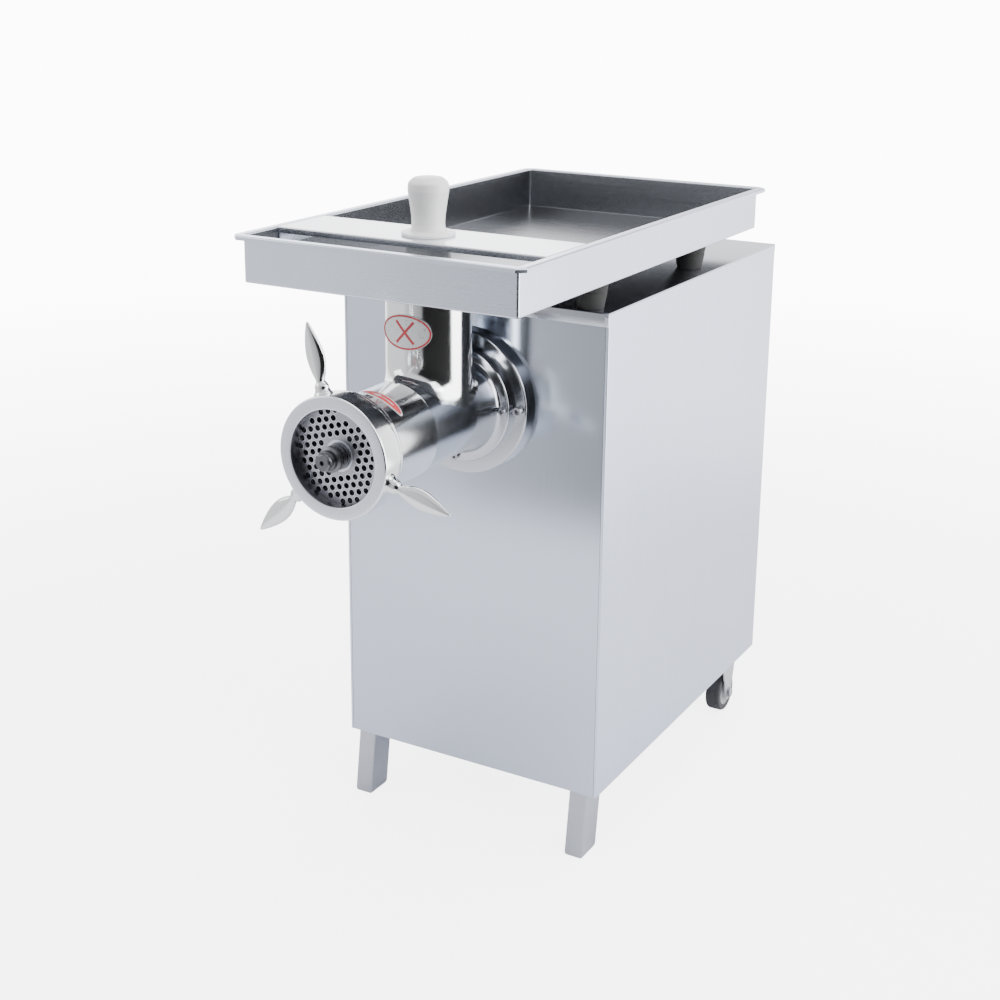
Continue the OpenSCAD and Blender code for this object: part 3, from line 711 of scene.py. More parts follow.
def screw_head(radius: float, height: float, socket: float) -> Shell:
    """Returns a socket screw's head at the origin, its top towards -Y."""
    shell = Shell()
    rim = circle(radius, 28)
    def ring(scale: float, y: float) -> list[Point3]:
        """Returns the head's circle, scaled, at a depth."""
        return [(u * scale, y, v * scale) for u, v in rim]
    def hexagon(size: float, y: float) -> list[Point3]:
        """Returns a hexagon with as many points as the circle."""
        out = []
        for u, v in rim:
            a = math.atan2(v, u)
            r = size * math.cos(math.pi / 6) / math.cos(
                (a % (math.pi / 3)) - math.pi / 6)
            out.append((r * math.cos(a), y, r * math.sin(a)))
        return out
    top = -height
    shell.loft([ring(1.0, 0), ring(1.0, top + 0.8), ring(0.93, top),
                hexagon(socket * 1.06, top), hexagon(socket, top + 0.4),
                hexagon(socket, top * 0.35),
                [(u * 0.01, top * 0.3, v * 0.01) for u, v in rim]])
    return shell


# ---------------------------------------------------------------- datums


@dataclass(frozen=True)
class Datum:
    """Sizes read from the CAD model, in millimetres in the cabinet's frame."""

    half_width: float
    depth: float
    base: float
    top: float
    head: float
    tray: float
    rim: float
    tray_half: float
    tray_front: float
    tray_rear: float
    lip: float
    ring_radius: float
    ring_front: float
    ring_back: float
    plate_front: float
    neck_y: float
    neck_radius: float

    @staticmethod
    def read() -> "Datum":
        """Measures the CAD nodes and sets the cabinet's front plane."""
        def mm(node: str) -> tuple[Vector, Vector]:
            """Returns a node's box in millimetres in the cabinet's frame."""
            low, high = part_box(node)
            shift = Vector((0, Shell.front, 0))
            return (low - shift) / MM, (high - shift) / MM
        Shell.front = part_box("front_panel")[0].y
        panel = mm("front_panel")
        cover = mm("top_cover")
        side = mm("side_panel_right")
        ring = mm("ring_nut")
        pan = mm("tray_pan")
        bridge = mm("guard_bridge")
        neck = mm("tray_collar")
        plate = mm("die_plate")
        supports = mm("tray_supports")
        lip = pan[1].x - bridge[1].x - SHEET
        return Datum(
            half_width=side[1].x, depth=side[1].y, base=panel[0].z,
            top=cover[1].z, head=(ring[0].z + ring[1].z) / 2,
            tray=supports[1].z + 0.1, rim=pan[1].z, tray_half=pan[1].x - lip,
            tray_front=pan[0].y + lip, tray_rear=pan[1].y - lip, lip=lip,
            ring_radius=(ring[1].z - ring[0].z) / 2, ring_front=ring[0].y,
            ring_back=ring[1].y, plate_front=plate[0].y,
            neck_y=(neck[0].y + neck[1].y) / 2, neck_radius=NECK_RADIUS)


# ---------------------------------------------------------- sub-assemblies


@dataclass
class Cabinet:
    """The sheet-steel body: panels, folded cover, louvred rear and legs."""

    at: Datum
    sheet: float = SHEET
    wrap: float = 4.0
    seam: float = 0.4
    cover_lip: float = 18.0
    leg_x: float = 177.0
    leg_width: float = 28.0
    leg_depth: float = 44.0
    leg_lean: float = 13.0
    louvres: int = 9
    louvre_pitch: float = 22.0
    louvre_width: float = 110.0
    louvre_start: float = 267.0
    slot: float = 6.0
    columns: Point2 = (-80.0, 80.0)
    gland: Point2 = (-130.0, 154.0)
    gland_hole: float = 9.8
    screw_columns: Point2 = (-181.0, 181.0)
    screw_start: float = 150.0
    screw_pitch: float = 190.0

    def build(self) -> None:
        """Builds every cabinet piece."""
        self._front()
        self._sides()
        self._cover()
        self._rear()
        self._legs()

    def _front(self) -> None:
        """The plain front sheet between the side panels' folds."""
        d = self.at
        x = d.half_width - self.wrap - self.seam
        shell = Shell()
        shell.box((-x, 0.0, d.base), (x, self.sheet, d.top - self.sheet))
        shell.finish("front_sheet", PANEL_FRONT, "cabinet", "panel_steel",
                     ["front_panel"], bevel=0.5)

    def _sides(self) -> None:
        """The side sheets, folded round both front and rear corners."""
        d = self.at
        hx = d.half_width
        for side, node in ((1, "side_panel_right"), (-1, "side_panel_left")):
            line = rounded([
                (side * (hx - self.wrap), 0.0), (side * hx, 0.0),
                (side * hx, d.depth - 0.3), (side * (hx - 15), d.depth - 0.3)],
                1.6)
            shell = Shell()
            shell.prism(thicken(line, side * self.sheet), Axis.Z, d.base,
                        d.top - self.sheet - 0.3)
            word = node.removeprefix("side_panel")
            shell.finish(f"side_panel_sheet{word}", PANEL_SIDE, "cabinet",
                         "panel_steel", [node], bevel=0.25, segments=1)
        shell = Shell()
        for side in (1, -1):
            a, b = side * (hx - self.wrap - self.seam), side * (hx - self.wrap)
            shell.box((min(a, b), 0.5, d.base + 1),
                      (max(a, b), self.sheet - 0.1, d.top - 3))
        shell.finish("corner_seams", SEAM, "cabinet", "dark_plastic")

    def _cover(self) -> None:
        """The top cover with its folded front lip and corner tabs."""
        d = self.at
        line = rounded([(-self.sheet, d.top - self.cover_lip),
                        (-self.sheet, d.top), (d.depth, d.top),
                        (d.depth, d.top - 12)], 1.8)
        shell = Shell()
        shell.prism(thicken(line, -self.sheet), Axis.X, -d.half_width,
                    d.half_width)
        shell.finish("cover_sheet", COVER_STEEL, "cabinet", "panel_steel",
                     ["top_cover"], bevel=0.35, segments=2)
        tabs = Shell()
        for side in (1, -1):
            x = side * (d.half_width - 2.6)
            low = d.top - self.cover_lip + 0.5
            tabs.box((x - 2.4, -self.sheet - 0.7, low),
                     (x + 2.4, -self.sheet, d.top - 5))
        tabs.finish("cover_corner_tabs", FACED, "cabinet", "panel_steel",
                    bevel=0.3)

    def _rear(self) -> None:
        """The removable rear panel with pressed louvres and screws."""
        d = self.at
        y0, y1 = d.depth - self.sheet, d.depth
        shell = Shell()
        x = d.half_width - 16
        shell.box((-x, y0 - 0.8, d.base + 3), (x, y1 - 0.8, d.top - 14))
        panel = put("rear_sheet", shell.mesh("rear_sheet"))
        slots = Shell()
        half = self.louvre_width / 2
        for c in self.columns:
            for i in range(self.louvres):
                z = self.louvre_start + i * self.louvre_pitch
                slots.box((c - half, y0 - 5, z),
                          (c + half, y1 + 5, z + self.slot))
        r = self.gland_hole
        slots.lathe([(0, y0 - 5), (r, y0 - 5), (r, y1 + 5), (0, y1 + 5)],
                    Axis.Y, self.gland, 40)
        cut(panel, slots, "slots")
        register(panel, PANEL_FRONT, "cabinet", "panel_steel", ["rear_panel"])
        hood = Shell()
        section = rounded([(-0.8, 10), (7.2, 1.5), (7.6, -3.5)], 4)
        hood.prism(thicken(section, 1.0), Axis.X, -half, half)
        for side in (-1, 1):
            hood.prism([(-0.8, -3), (-0.8, 9.6), (6.6, 1.5), (7.0, -3)],
                       Axis.X, side * half - 0.5, side * half + 0.5)
        hoods = line_pattern(
            "louvre_hoods", part_object(hood, "hood"), PANEL_FRONT,
            self.columns, self.louvres,
            (d.depth, self.louvre_start + self.slot), self.louvre_pitch)
        register(hoods, PANEL_FRONT, "cabinet", "panel_steel")
        head = Shell()
        head.lathe([(0, 2.8), (1.2, 2.8), (1.4, 1.8), (1.6, 2.75), (3.4, 2.2),
                    (4.6, 0.8), (4.75, 0), (0, 0)], Axis.Y, count=24)
        screws = line_pattern(
            "rear_screws", part_object(head, "head"), SCREW_STEEL,
            self.screw_columns, 4, (d.depth - 0.8, self.screw_start),
            self.screw_pitch)
        register(screws, SCREW_STEEL, "cabinet", "fastener_steel",
                 ["panel_screws"])

    def _legs(self) -> None:
        """The two leaning box-section front legs."""
        d = self.at
        for side, node in ((1, "front_leg_right"), (-1, "front_leg_left")):
            shell = Shell()
            half_w, rings = self.leg_width / 2, []
            for z in (0.0, 3.0, d.base):
                y0 = 2 - self.leg_lean + self.leg_lean * z / d.base
                inset = 1.2 if z == 0 else 0.0
                u, v0 = half_w - inset, y0 + inset
                v1 = y0 + self.leg_depth - inset
                plan = rounded([(-u, v0), (u, v0), (u, v1), (-u, v1)],
                               2.6, closed=True)
                rings.append([(side * self.leg_x + u, v, z) for u, v in plan])
            shell.loft(rings, caps=True)
            shell.finish(node + "_tube", LEG_STEEL, "cabinet", "panel_steel",
                         [node])


@dataclass
class RunningGear:
    """The two fixed rear casters."""

    at: Datum
    x: float = 176.0
    y: float = 525.0
    radius: float = 32.0
    half_tread: float = 12.0
    fork: float = 3.0

    def build(self) -> None:
        """Builds both casters."""
        for side, word in ((1, "right"), (-1, "left")):
            self._fork(side, word)
            self._wheel(side, word)
        self._axles()

    def _fork(self, side: int, word: str) -> None:
        """One pressed fork: a top plate and two tapering cheeks."""
        d = self.at
        shell = Shell()
        cx, gap = side * self.x, self.half_tread + 1.5
        plate = rounded([(-24, -34), (24, -34), (24, 34), (-24, 34)], 5, True)
        shell.prism([(cx + u, self.y + v) for u, v in plate], Axis.Z,
                    d.base - self.fork, d.base)
        cheek = rounded([
            (-26, d.base - self.fork), (-11.3, self.radius),
            (-8, self.radius - 10), (0, self.radius - 13),
            (8, self.radius - 10), (11.3, self.radius),
            (26, d.base - self.fork)], [0, 5, 5, 5, 5, 5, 0])
        for s in (-1, 1):
            inner, outer = cx + s * gap, cx + s * (gap + self.fork)
            shell.prism([(self.y + u, v) for u, v in cheek], Axis.X,
                        min(inner, outer), max(inner, outer))
        for v in (-24, 24):
            for u in (-15, 15):
                shell.lathe([(0, d.base - self.fork - 4.5),
                             (4.5, d.base - self.fork - 4.5),
                             (5.5, d.base - self.fork - 3),
                             (5.5, d.base - self.fork + 0.5)], Axis.Z,
                            (cx + u, self.y + v), 6)
        shell.finish(f"caster_{word}_fork", ZINC, "cabinet", "fastener_steel",
                     [f"caster_fork_{word}"], bevel=0.5)

    def _wheel(self, side: int, word: str) -> None:
        """One wheel: a rounded tread on a lighter core."""
        cx, r, w = side * self.x, self.radius, self.half_tread
        body = f"{word}_wheel"
        tread = rounded([
            (21.5, -w + 0.6), (23, -w), (r - 1.5, -w), (r, -w + 3),
            (r, w - 3), (r - 1.5, w), (23, w), (21.5, w - 0.6)], 1.4)
        shell = Shell()
        shell.lathe([(a, cx + b) for a, b in tread], Axis.X,
                    (self.y, r), 72, closed=True)
        shell.finish(f"wheel_{word}_tread", TYRE, body, "wheel_plastic",
                     [f"wheel_{word}"])
        core = rounded([(4.1, -13), (9, -13), (10.5, -9.5), (18.5, -8.5),
                        (20, -11), (21.6, -11.4), (21.6, 11.4), (20, 11),
                        (18.5, 8.5), (10.5, 9.5), (9, 13), (4.1, 13)], 0.8)
        shell = Shell()
        shell.lathe([(a, cx + b) for a, b in core], Axis.X,
                    (self.y, r), 60, closed=True)
        shell.finish(f"wheel_{word}_core", HUB, body, "wheel_plastic")

    def _axles(self) -> None:
        """The axle bolts with their heads and nuts."""
        shell = Shell()
        reach = self.half_tread + 1.5 + self.fork
        for side in (1, -1):
            cx = side * self.x
            for s in (1, -1):
                face = cx + s * reach
                washer, edge, top = (face + s * v for v in (1.2, 4.6, 5.2))
                shell.lathe([(9, face), (9, washer), (0, washer)],
                            Axis.X, (self.y, self.radius), 32)
                shell.lathe([(7.6, washer), (7.6, edge), (6.6, top), (0, top)],
                            Axis.X, (self.y, self.radius), 6)
            shell.lathe([(0, cx - reach - 6.8), (3.4, cx - reach - 6.8),
                         (3.95, cx - reach - 6), (3.95, cx + reach - 1),
                         (0, cx + reach - 1)], Axis.X,
                        (self.y, self.radius), 24)
        shell.finish("caster_axle_bolts", SCREW_STEEL, "cabinet",
                     "fastener_steel", ["caster_axles"])


@dataclass
class Head:
    """The screw head: flange, barrel with its feed neck, badges, screws."""

    at: Datum
    barrel: float = 64.0
    rear: float = 61.0
    collar: float = 74.0
    thread: float = 71.0
    step_y: float = -183.0
    hub: float = 80.0
    hub_y: float = -36.0
    flange: float = 100.0
    flange_y: float = -24.0
    bore: float = 53.0
    throat: float = 48.5

    def build(self) -> None:
        """Builds the head's pieces."""
        self._flange()
        self._barrel()
        self._neck()
        self._screws()
        self._badges()

    def _flange(self) -> None:
        """The disc that carries the head on the front panel, in satin steel
        darkened as painted shade.
        """
        line = rounded([
            (30, 0), (self.flange, 0), (self.flange, self.flange_y),
            (self.hub - 6, self.flange_y), (self.hub - 6, self.flange_y + 3),
            (30, self.flange_y + 3)], [0, 0, 3.0, 0, 0, 0])
        shell = Shell()
        shell.lathe(line, Axis.Y, (0, self.at.head), 128, closed=True)
        shell.finish("head_flange", SATIN_PAINTED_SHADE, "cabinet", "satin_steel",
                     ["mounting_flange"])

    def _barrel(self) -> None:
        """The polished front and satin rear of the barrel; the rear's darker
        steel is painted shade.
        """
        d = self.at
        seat_back = d.plate_front + 16
        front = rounded([
            (self.bore, seat_back), (65.2, seat_back), (65.2, -301),
            (self.thread, -301), (self.thread, -286), (self.collar, -286),
            (self.collar, -278), (self.barrel, -277), (self.barrel, -184.5),
            (self.rear - 0.5, self.step_y), (self.bore, self.step_y)],
            [0, 0.4, 0.6, 1.2, 0.8, 1.0, 1.6, 3.0, 2.4, 0, 0])
        shell = Shell().lathe(front, Axis.Y, (0, d.head), 160, closed=True)
        shell.finish("barrel_front", POLISHED, "cabinet", "polished_steel",
                     ["head_barrel"], sharp=40)
        flare = [(self.rear + 8 * (1 - math.cos(a)), -80 + 44 * math.sin(a))
                 for a in [math.radians(9 * i) for i in range(11)]]
        start = self.step_y - 0.2
        outline = [(self.bore, start), (self.rear, start)] + flare + rounded([
            (self.rear + 8, self.hub_y), (self.hub, self.hub_y),
            (self.hub, self.flange_y), (self.bore, self.flange_y)],
            [0, 2.5, 0, 0])
        shell = Shell().lathe(outline, Axis.Y, (0, d.head), 160, closed=True)
        shell.finish("barrel_rear", SATIN_PAINTED_SHADE, "cabinet", "satin_steel",
                     ["head_hub"], sharp=40)

    def _surface(self, x: float) -> float:
        """Returns the barrel's height above its axis at X, for the neck."""
        return math.sqrt(max(self.rear ** 2 - x * x, 0.0))

    def _neck(self) -> None:
        """The feed neck, blended into the barrel with a swept fillet."""
        d = self.at
        count, r = 160, d.neck_radius
        columns = []
        for k in range(count):
            a = 2 * math.pi * k / count
            c, s = math.cos(a), math.sin(a)
            room = (self.rear - 0.6 - r * abs(c)) / max(abs(c), 1e-3)
            flare = min(15.0, max(room, 0.8))
            foot = r + flare
            lift = flare * 1.15 + 3
            z_foot = d.head + self._surface(foot * c) + 0.05
            z_wall = d.head + self._surface(r * c) + lift
            bank = math.atan2(foot * c, max(self._surface(foot * c), 1e-3))
            column = [(r, d.tray - 0.2), (r, z_wall + 8)]
            for i in range(9):
                t = i / 8
                mid_z = d.head + self._surface(r * c) + lift * 0.12
                q = [(1 - t) ** 2, 2 * t * (1 - t), t * t]
                mid_r = r + flare * 0.06 * abs(s)
                radius = q[0] * r + q[1] * mid_r + q[2] * foot
                z = q[0] * z_wall + q[1] * mid_z + q[2] * z_foot
                column.append((radius, z))
            drop = 4 * math.cos(bank)
            column.append((foot - 0.5, z_foot - drop))
            column.append((self.throat + 0.5, z_foot - drop - 6))
            column.append((self.throat, z_foot - drop - 4))
            column.append((self.throat, d.tray - 1.2))
            column.append((self.throat + 1, d.tray - 0.2))
            columns.append([(rad * c, d.neck_y + rad * s, z)
                            for rad, z in column])
        rings = [[col[i] for col in columns] for i in range(len(columns[0]))]
        shell = Shell().loft(rings, join=True)
        shell.finish("feed_neck", POLISHED, "cabinet", "polished_steel",
                     sharp=40)
        bead = Shell()
        bead.lathe(rounded([(r - 1, d.tray - 9), (r + 2.2, d.tray - 9),
                            (r + 2.2, d.tray - 0.3), (r - 1, d.tray - 0.3)],
                           1.6, closed=True),
                   Axis.Z, (0, d.neck_y), 128, closed=True)
        bead.finish("neck_rim", POLISHED, "cabinet", "polished_steel")

    def _screws(self) -> None:
        """The socket-head screws of the flange and the hub."""
        for name, head, count, radius, start, y, node in (
                ("flange_screws", screw_head(6.5, 8, 3.6), 3, 90, 90,
                 self.flange_y, "flange_bolts"),
                ("hub_screws", screw_head(5, 6, 2.8), 4, 72.5, 0,
                 self.hub_y, "hub_bolts")):
            obj = ring_pattern(name, part_object(head, "cap"), SCREW_STEEL,
                               count, radius, start, (0, y, self.at.head))
            register(obj, SCREW_STEEL, "cabinet", "fastener_steel", [node])

    def _badges(self) -> None:
        """Two plain oval badges: a crossed warning and a turning arrow."""
        d = self.at
        bend = 92.0
        neck = Wrap(Axis.Z, (0.0, d.neck_y + bend - d.neck_radius), bend,
                    d.head + 122, -90.0)
        neck.patch("neck_badge_foil", FOIL, ellipse_outline(36.5, 22.8), 0.8,
                   ["neck_badge"])
        neck.band("neck_badge_border", RED_INK, ellipse_outline(35.8, 22.1),
                  ellipse_outline(33.4, 19.8), 0.95)
        for word, slope in (("a", 48), ("b", -48)):
            neck.patch(f"neck_badge_stroke_{word}", RED_INK,
                       stroke_outline(19, 1.7, slope), 0.95)
        turn = Wrap(Axis.Y, (0.0, d.head), self.barrel, -242.0, 70.0)
        turn.patch("barrel_badge_foil", FOIL, ellipse_outline(33, 8.5), 0.4,
                   ["barrel_badge"])
        turn.patch("barrel_badge_field", RED_INK, ellipse_outline(30.5, 6.2),
                   0.55)
        turn.patch("barrel_badge_arrow", FOIL, [
            (-16, -1.2), (8, -1.2), (8, -3.6), (17, 0), (8, 3.6), (8, 1.2),
            (-16, 1.2)], 0.65)


def ellipse_outline(a: float, b: float, count: int = 64) -> list[Point2]:
    """Returns an ellipse's points."""
    return [(u * a, v * b) for u, v in circle(1.0, count)]


def stroke_outline(half: float, width: float, angle: float) -> list[Point2]:
    """Returns a straight bar's outline, turned by an angle in degrees."""
    a = math.radians(angle)
    c, s = math.cos(a), math.sin(a)
    edge = [(-half + 2 * half * i / 12, -width) for i in range(13)]
    edge += [(half - 2 * half * i / 12, width) for i in range(13)]
    return [(u * c - v * s, u * s + v * c) for u, v in edge]


@dataclass
class Wrap:
    """A flat outline wrapped on a cylinder.

    The outline's first coordinate runs round the cylinder, the second along.
    """

    axis: Axis
    centre: Point2
    radius: float
    level: float
    heading: float

    def place(self, u: float, v: float, lift: float) -> Point3:
        """Returns the point at outline coordinates, lifted off the surface."""
        a = math.radians(self.heading) + u / self.radius
        r = self.radius + lift
        return self.axis.place(self.centre[0] + r * math.cos(a),
                               self.centre[1] + r * math.sin(a),
                               self.level + v)

    def _make(self, name: str, finish: Finish,
              rings: Sequence[Sequence[Point2]], lift: float,
              nodes: Iterable[str], capped: bool) -> None:
        """Lofts outline rings on the surface and closes them underneath."""
        tops = [[self.place(u, v, lift) for u, v in ring] for ring in rings]
        under = [[self.place(u, v, 0.02) for u, v in ring] for ring in rings]
        shell = Shell()
        if capped:
            shell.loft(under[::-1] + tops)
        else:
            shell.loft([under[1], under[0], tops[0], tops[1]], join=True)
        shell.finish(name, finish, "cabinet", "badge_print", nodes, sharp=50)

    def patch(self, name: str, finish: Finish, outline: Sequence[Point2],
              lift: float, nodes: Iterable[str] = ()) -> None:
        """A filled outline."""
        cu = sum(u for u, _ in outline) / len(outline)
        cv = sum(v for _, v in outline) / len(outline)
        rings = [[(cu + (u - cu) * s, cv + (v - cv) * s) for u, v in outline]
                 for s in (1.0, 0.8, 0.6, 0.4, 0.2, 1e-4)]
        self._make(name, finish, rings, lift, nodes, True)

    def band(self, name: str, finish: Finish, outer: Sequence[Point2],
             inner: Sequence[Point2], lift: float) -> None:
        """The strip between two outlines."""
        self._make(name, finish, [outer, inner], lift, (), False)


@dataclass
class Cutter:
    """The perforated plate's rims, the screw stud and the ring nut."""

    at: Datum
    opening: float = 60.0
    bore: float = 71.3
    hole: float = 3.9
    pitch: float = 10.7
    plate_turn: float = 15.6
    plate_gap: Point3 = (27.1, 47.5, 11.75)
    stud: float = 16.0
    handle_turn: float = -14.0
    handle_y: float = -308.0
    reach: float = 165.0

    def build(self) -> None:
        """Builds the cutting end's pieces."""
        self._ring()
        self._handles()
        self._plate()
        self._stud()

    def _ring(self) -> None:
        """The ring nut: a faced front, a polished band and a threaded bore;
        its opening's inner wall is dark steel, as painted shade.
        """
        d = self.at
        r, back = d.ring_radius, d.plate_front - 0.1
        line = rounded([
            (self.bore, d.ring_back), (r - 0.2, d.ring_back),
            (r, d.ring_back - 6), (r, d.ring_front),
            (self.opening, d.ring_front),
            (self.opening, back), (self.bore, back)],
            [0.8, 1.6, 1.0, 3.0, 2.2, 0.6, 0.4])
        shell = Shell().lathe(line, Axis.Y, (0, d.head), 160, closed=True)
        obj = shell.finish("ring_nut_body", POLISHED, "ring", "satin_steel",
                           ["ring_nut"], sharp=40)
        obj.data.materials.append(FACED.material())
        # Painted shade: the opening's inner wall takes dark steel.
        obj.data.materials.append(DARK_STEEL.material())
        face_y = (d.ring_front + 3) * MM + Shell.front
        for poly in obj.data.polygons:
            x, y, z = poly.center
            if y < face_y and abs(poly.normal.y) > 0.75:
                poly.material_index = 1
            elif math.hypot(x, z - d.head * MM) < (self.opening + 0.6) * MM:
                poly.material_index = 2
        thread("ring_thread", POLISHED, "ring", 3.5, self.bore - 0.1, 14, 0.9,
               64, (0, back + 1, d.head))

    def _handles(self) -> None:
        """Three leaf-shaped grips, each on a flared foot."""
        d = self.at
        r0 = d.ring_radius
        stations = [
            (r0 - 4, 13.5, 11.5, 0.0), (r0, 12.5, 10.5, 0.0),
            (r0 + 3, 10.5, 9.0, 0.0),
            (r0 + 6.5, 9.2, 8.0, 0.0), (r0 + 10, 9.0, 7.6, 0.0),
            (r0 + 13, 7.4, 6.4, 0.0), (r0 + 15, 5.8, 5.6, 0.0),
            (r0 + 17, 5.6, 5.4, 0.0), (r0 + 20, 7.0, 5.6, -0.3),
            (r0 + 26, 9.6, 6.2, -0.8), (r0 + 34, 12.0, 6.6, -1.2),
            (r0 + 43, 13.1, 6.6, -1.2), (r0 + 52, 12.6, 6.2, -0.8),
            (r0 + 61, 10.8, 5.4, -0.2), (r0 + 70, 8.2, 4.4, 0.3),
            (r0 + 78, 5.4, 3.3, 0.6), (r0 + 84, 3.0, 2.2, 0.8),
            (self.reach - 0.8, 1.4, 1.2, 0.8), (self.reach, 0.01, 0.01, 0.8)]
        dense: list[tuple[float, float, float, float]] = []
        for i in range(len(stations) - 1):
            p = [stations[max(i - 1, 0)], stations[i], stations[i + 1],
                 stations[min(i + 2, len(stations) - 1)]]
            for k in range(4):
                t = k / 4
                w = (-0.5 * t + t * t - 0.5 * t ** 3,
                     1 - 2.5 * t * t + 1.5 * t ** 3,
                     0.5 * t + 2 * t * t - 1.5 * t ** 3,
                     -0.5 * t * t + 0.5 * t ** 3)
                dense.append(tuple(
                    sum(w[j] * p[j][c] for j in range(4)) for c in range(4)))
        dense.append(stations[-1])
        shell = Shell()
        for n in range(3):
            a = math.radians(self.handle_turn + 120 * n)
            out, across = Vector((math.sin(a), 0, math.cos(a))), \
                Vector((math.cos(a), 0, -math.sin(a)))
            rings = []
            for r, half_w, half_t, lift in dense:
                blade = smooth((r - r0 - 17) / 14)
                ring = []
                for u, v in circle(1.0, 36):
                    power = 1 + 0.12 * blade
                    vv = math.copysign(abs(v) ** power, v)
                    p = (out * r + across * (half_w * u)
                         + Vector((0, -1, 0)) * (half_t * vv + lift))
                    ring.append((p.x, self.handle_y + p.y, d.head + p.z))
                rings.append(ring)
            shell.loft(rings, caps=True)
        shell.finish("ring_grips", POLISHED, "ring", "polished_steel",
                     ["ring_handles"], sharp=60)

    def _plate(self) -> None:
        """Chamfered rims round the plate's real holes, and its hub ring."""
        d = self.at
        rim = Shell()
        rim.lathe([(self.hole - 0.02, 0.9), (self.hole - 0.02, -0.02),
                   (self.hole + 0.55, -0.05), (self.hole + 0.75, 0.02),
                   (self.hole + 0.4, 0.9)], Axis.Y, count=20, closed=True)
        inner, outer = self.stud + 2 * self.hole, self.opening - 3
        rims = hex_pattern("plate_hole_rims", part_object(rim, "rim"), FACED,
                           self.pitch, inner, outer, -self.plate_turn,
                           self.plate_gap, (0, d.plate_front, d.head))
        register(rims, FACED, "cutting_plate", "satin_steel", sharp=60)
        hub = Shell()
        hub.lathe(rounded([(self.stud + 0.1, d.plate_front + 2),
                           (self.stud + 0.1, d.plate_front - 0.8),
                           (self.stud + 3.4, d.plate_front - 0.8),
                           (self.stud + 4.4, d.plate_front + 2)], 0.5, True),
                  Axis.Y, (0, d.head), 72, closed=True)
        hub.finish("plate_hub_ring", FACED, "cutting_plate", "satin_steel")

    def _stud(self) -> None:
        """A fine thread on the screw's front stud."""
        d = self.at
        thread("stud_thread", DARK_STEEL, "auger", 5.0, 10.4, 9, 0.75,
               48, (0, d.ring_front - 17, d.head))


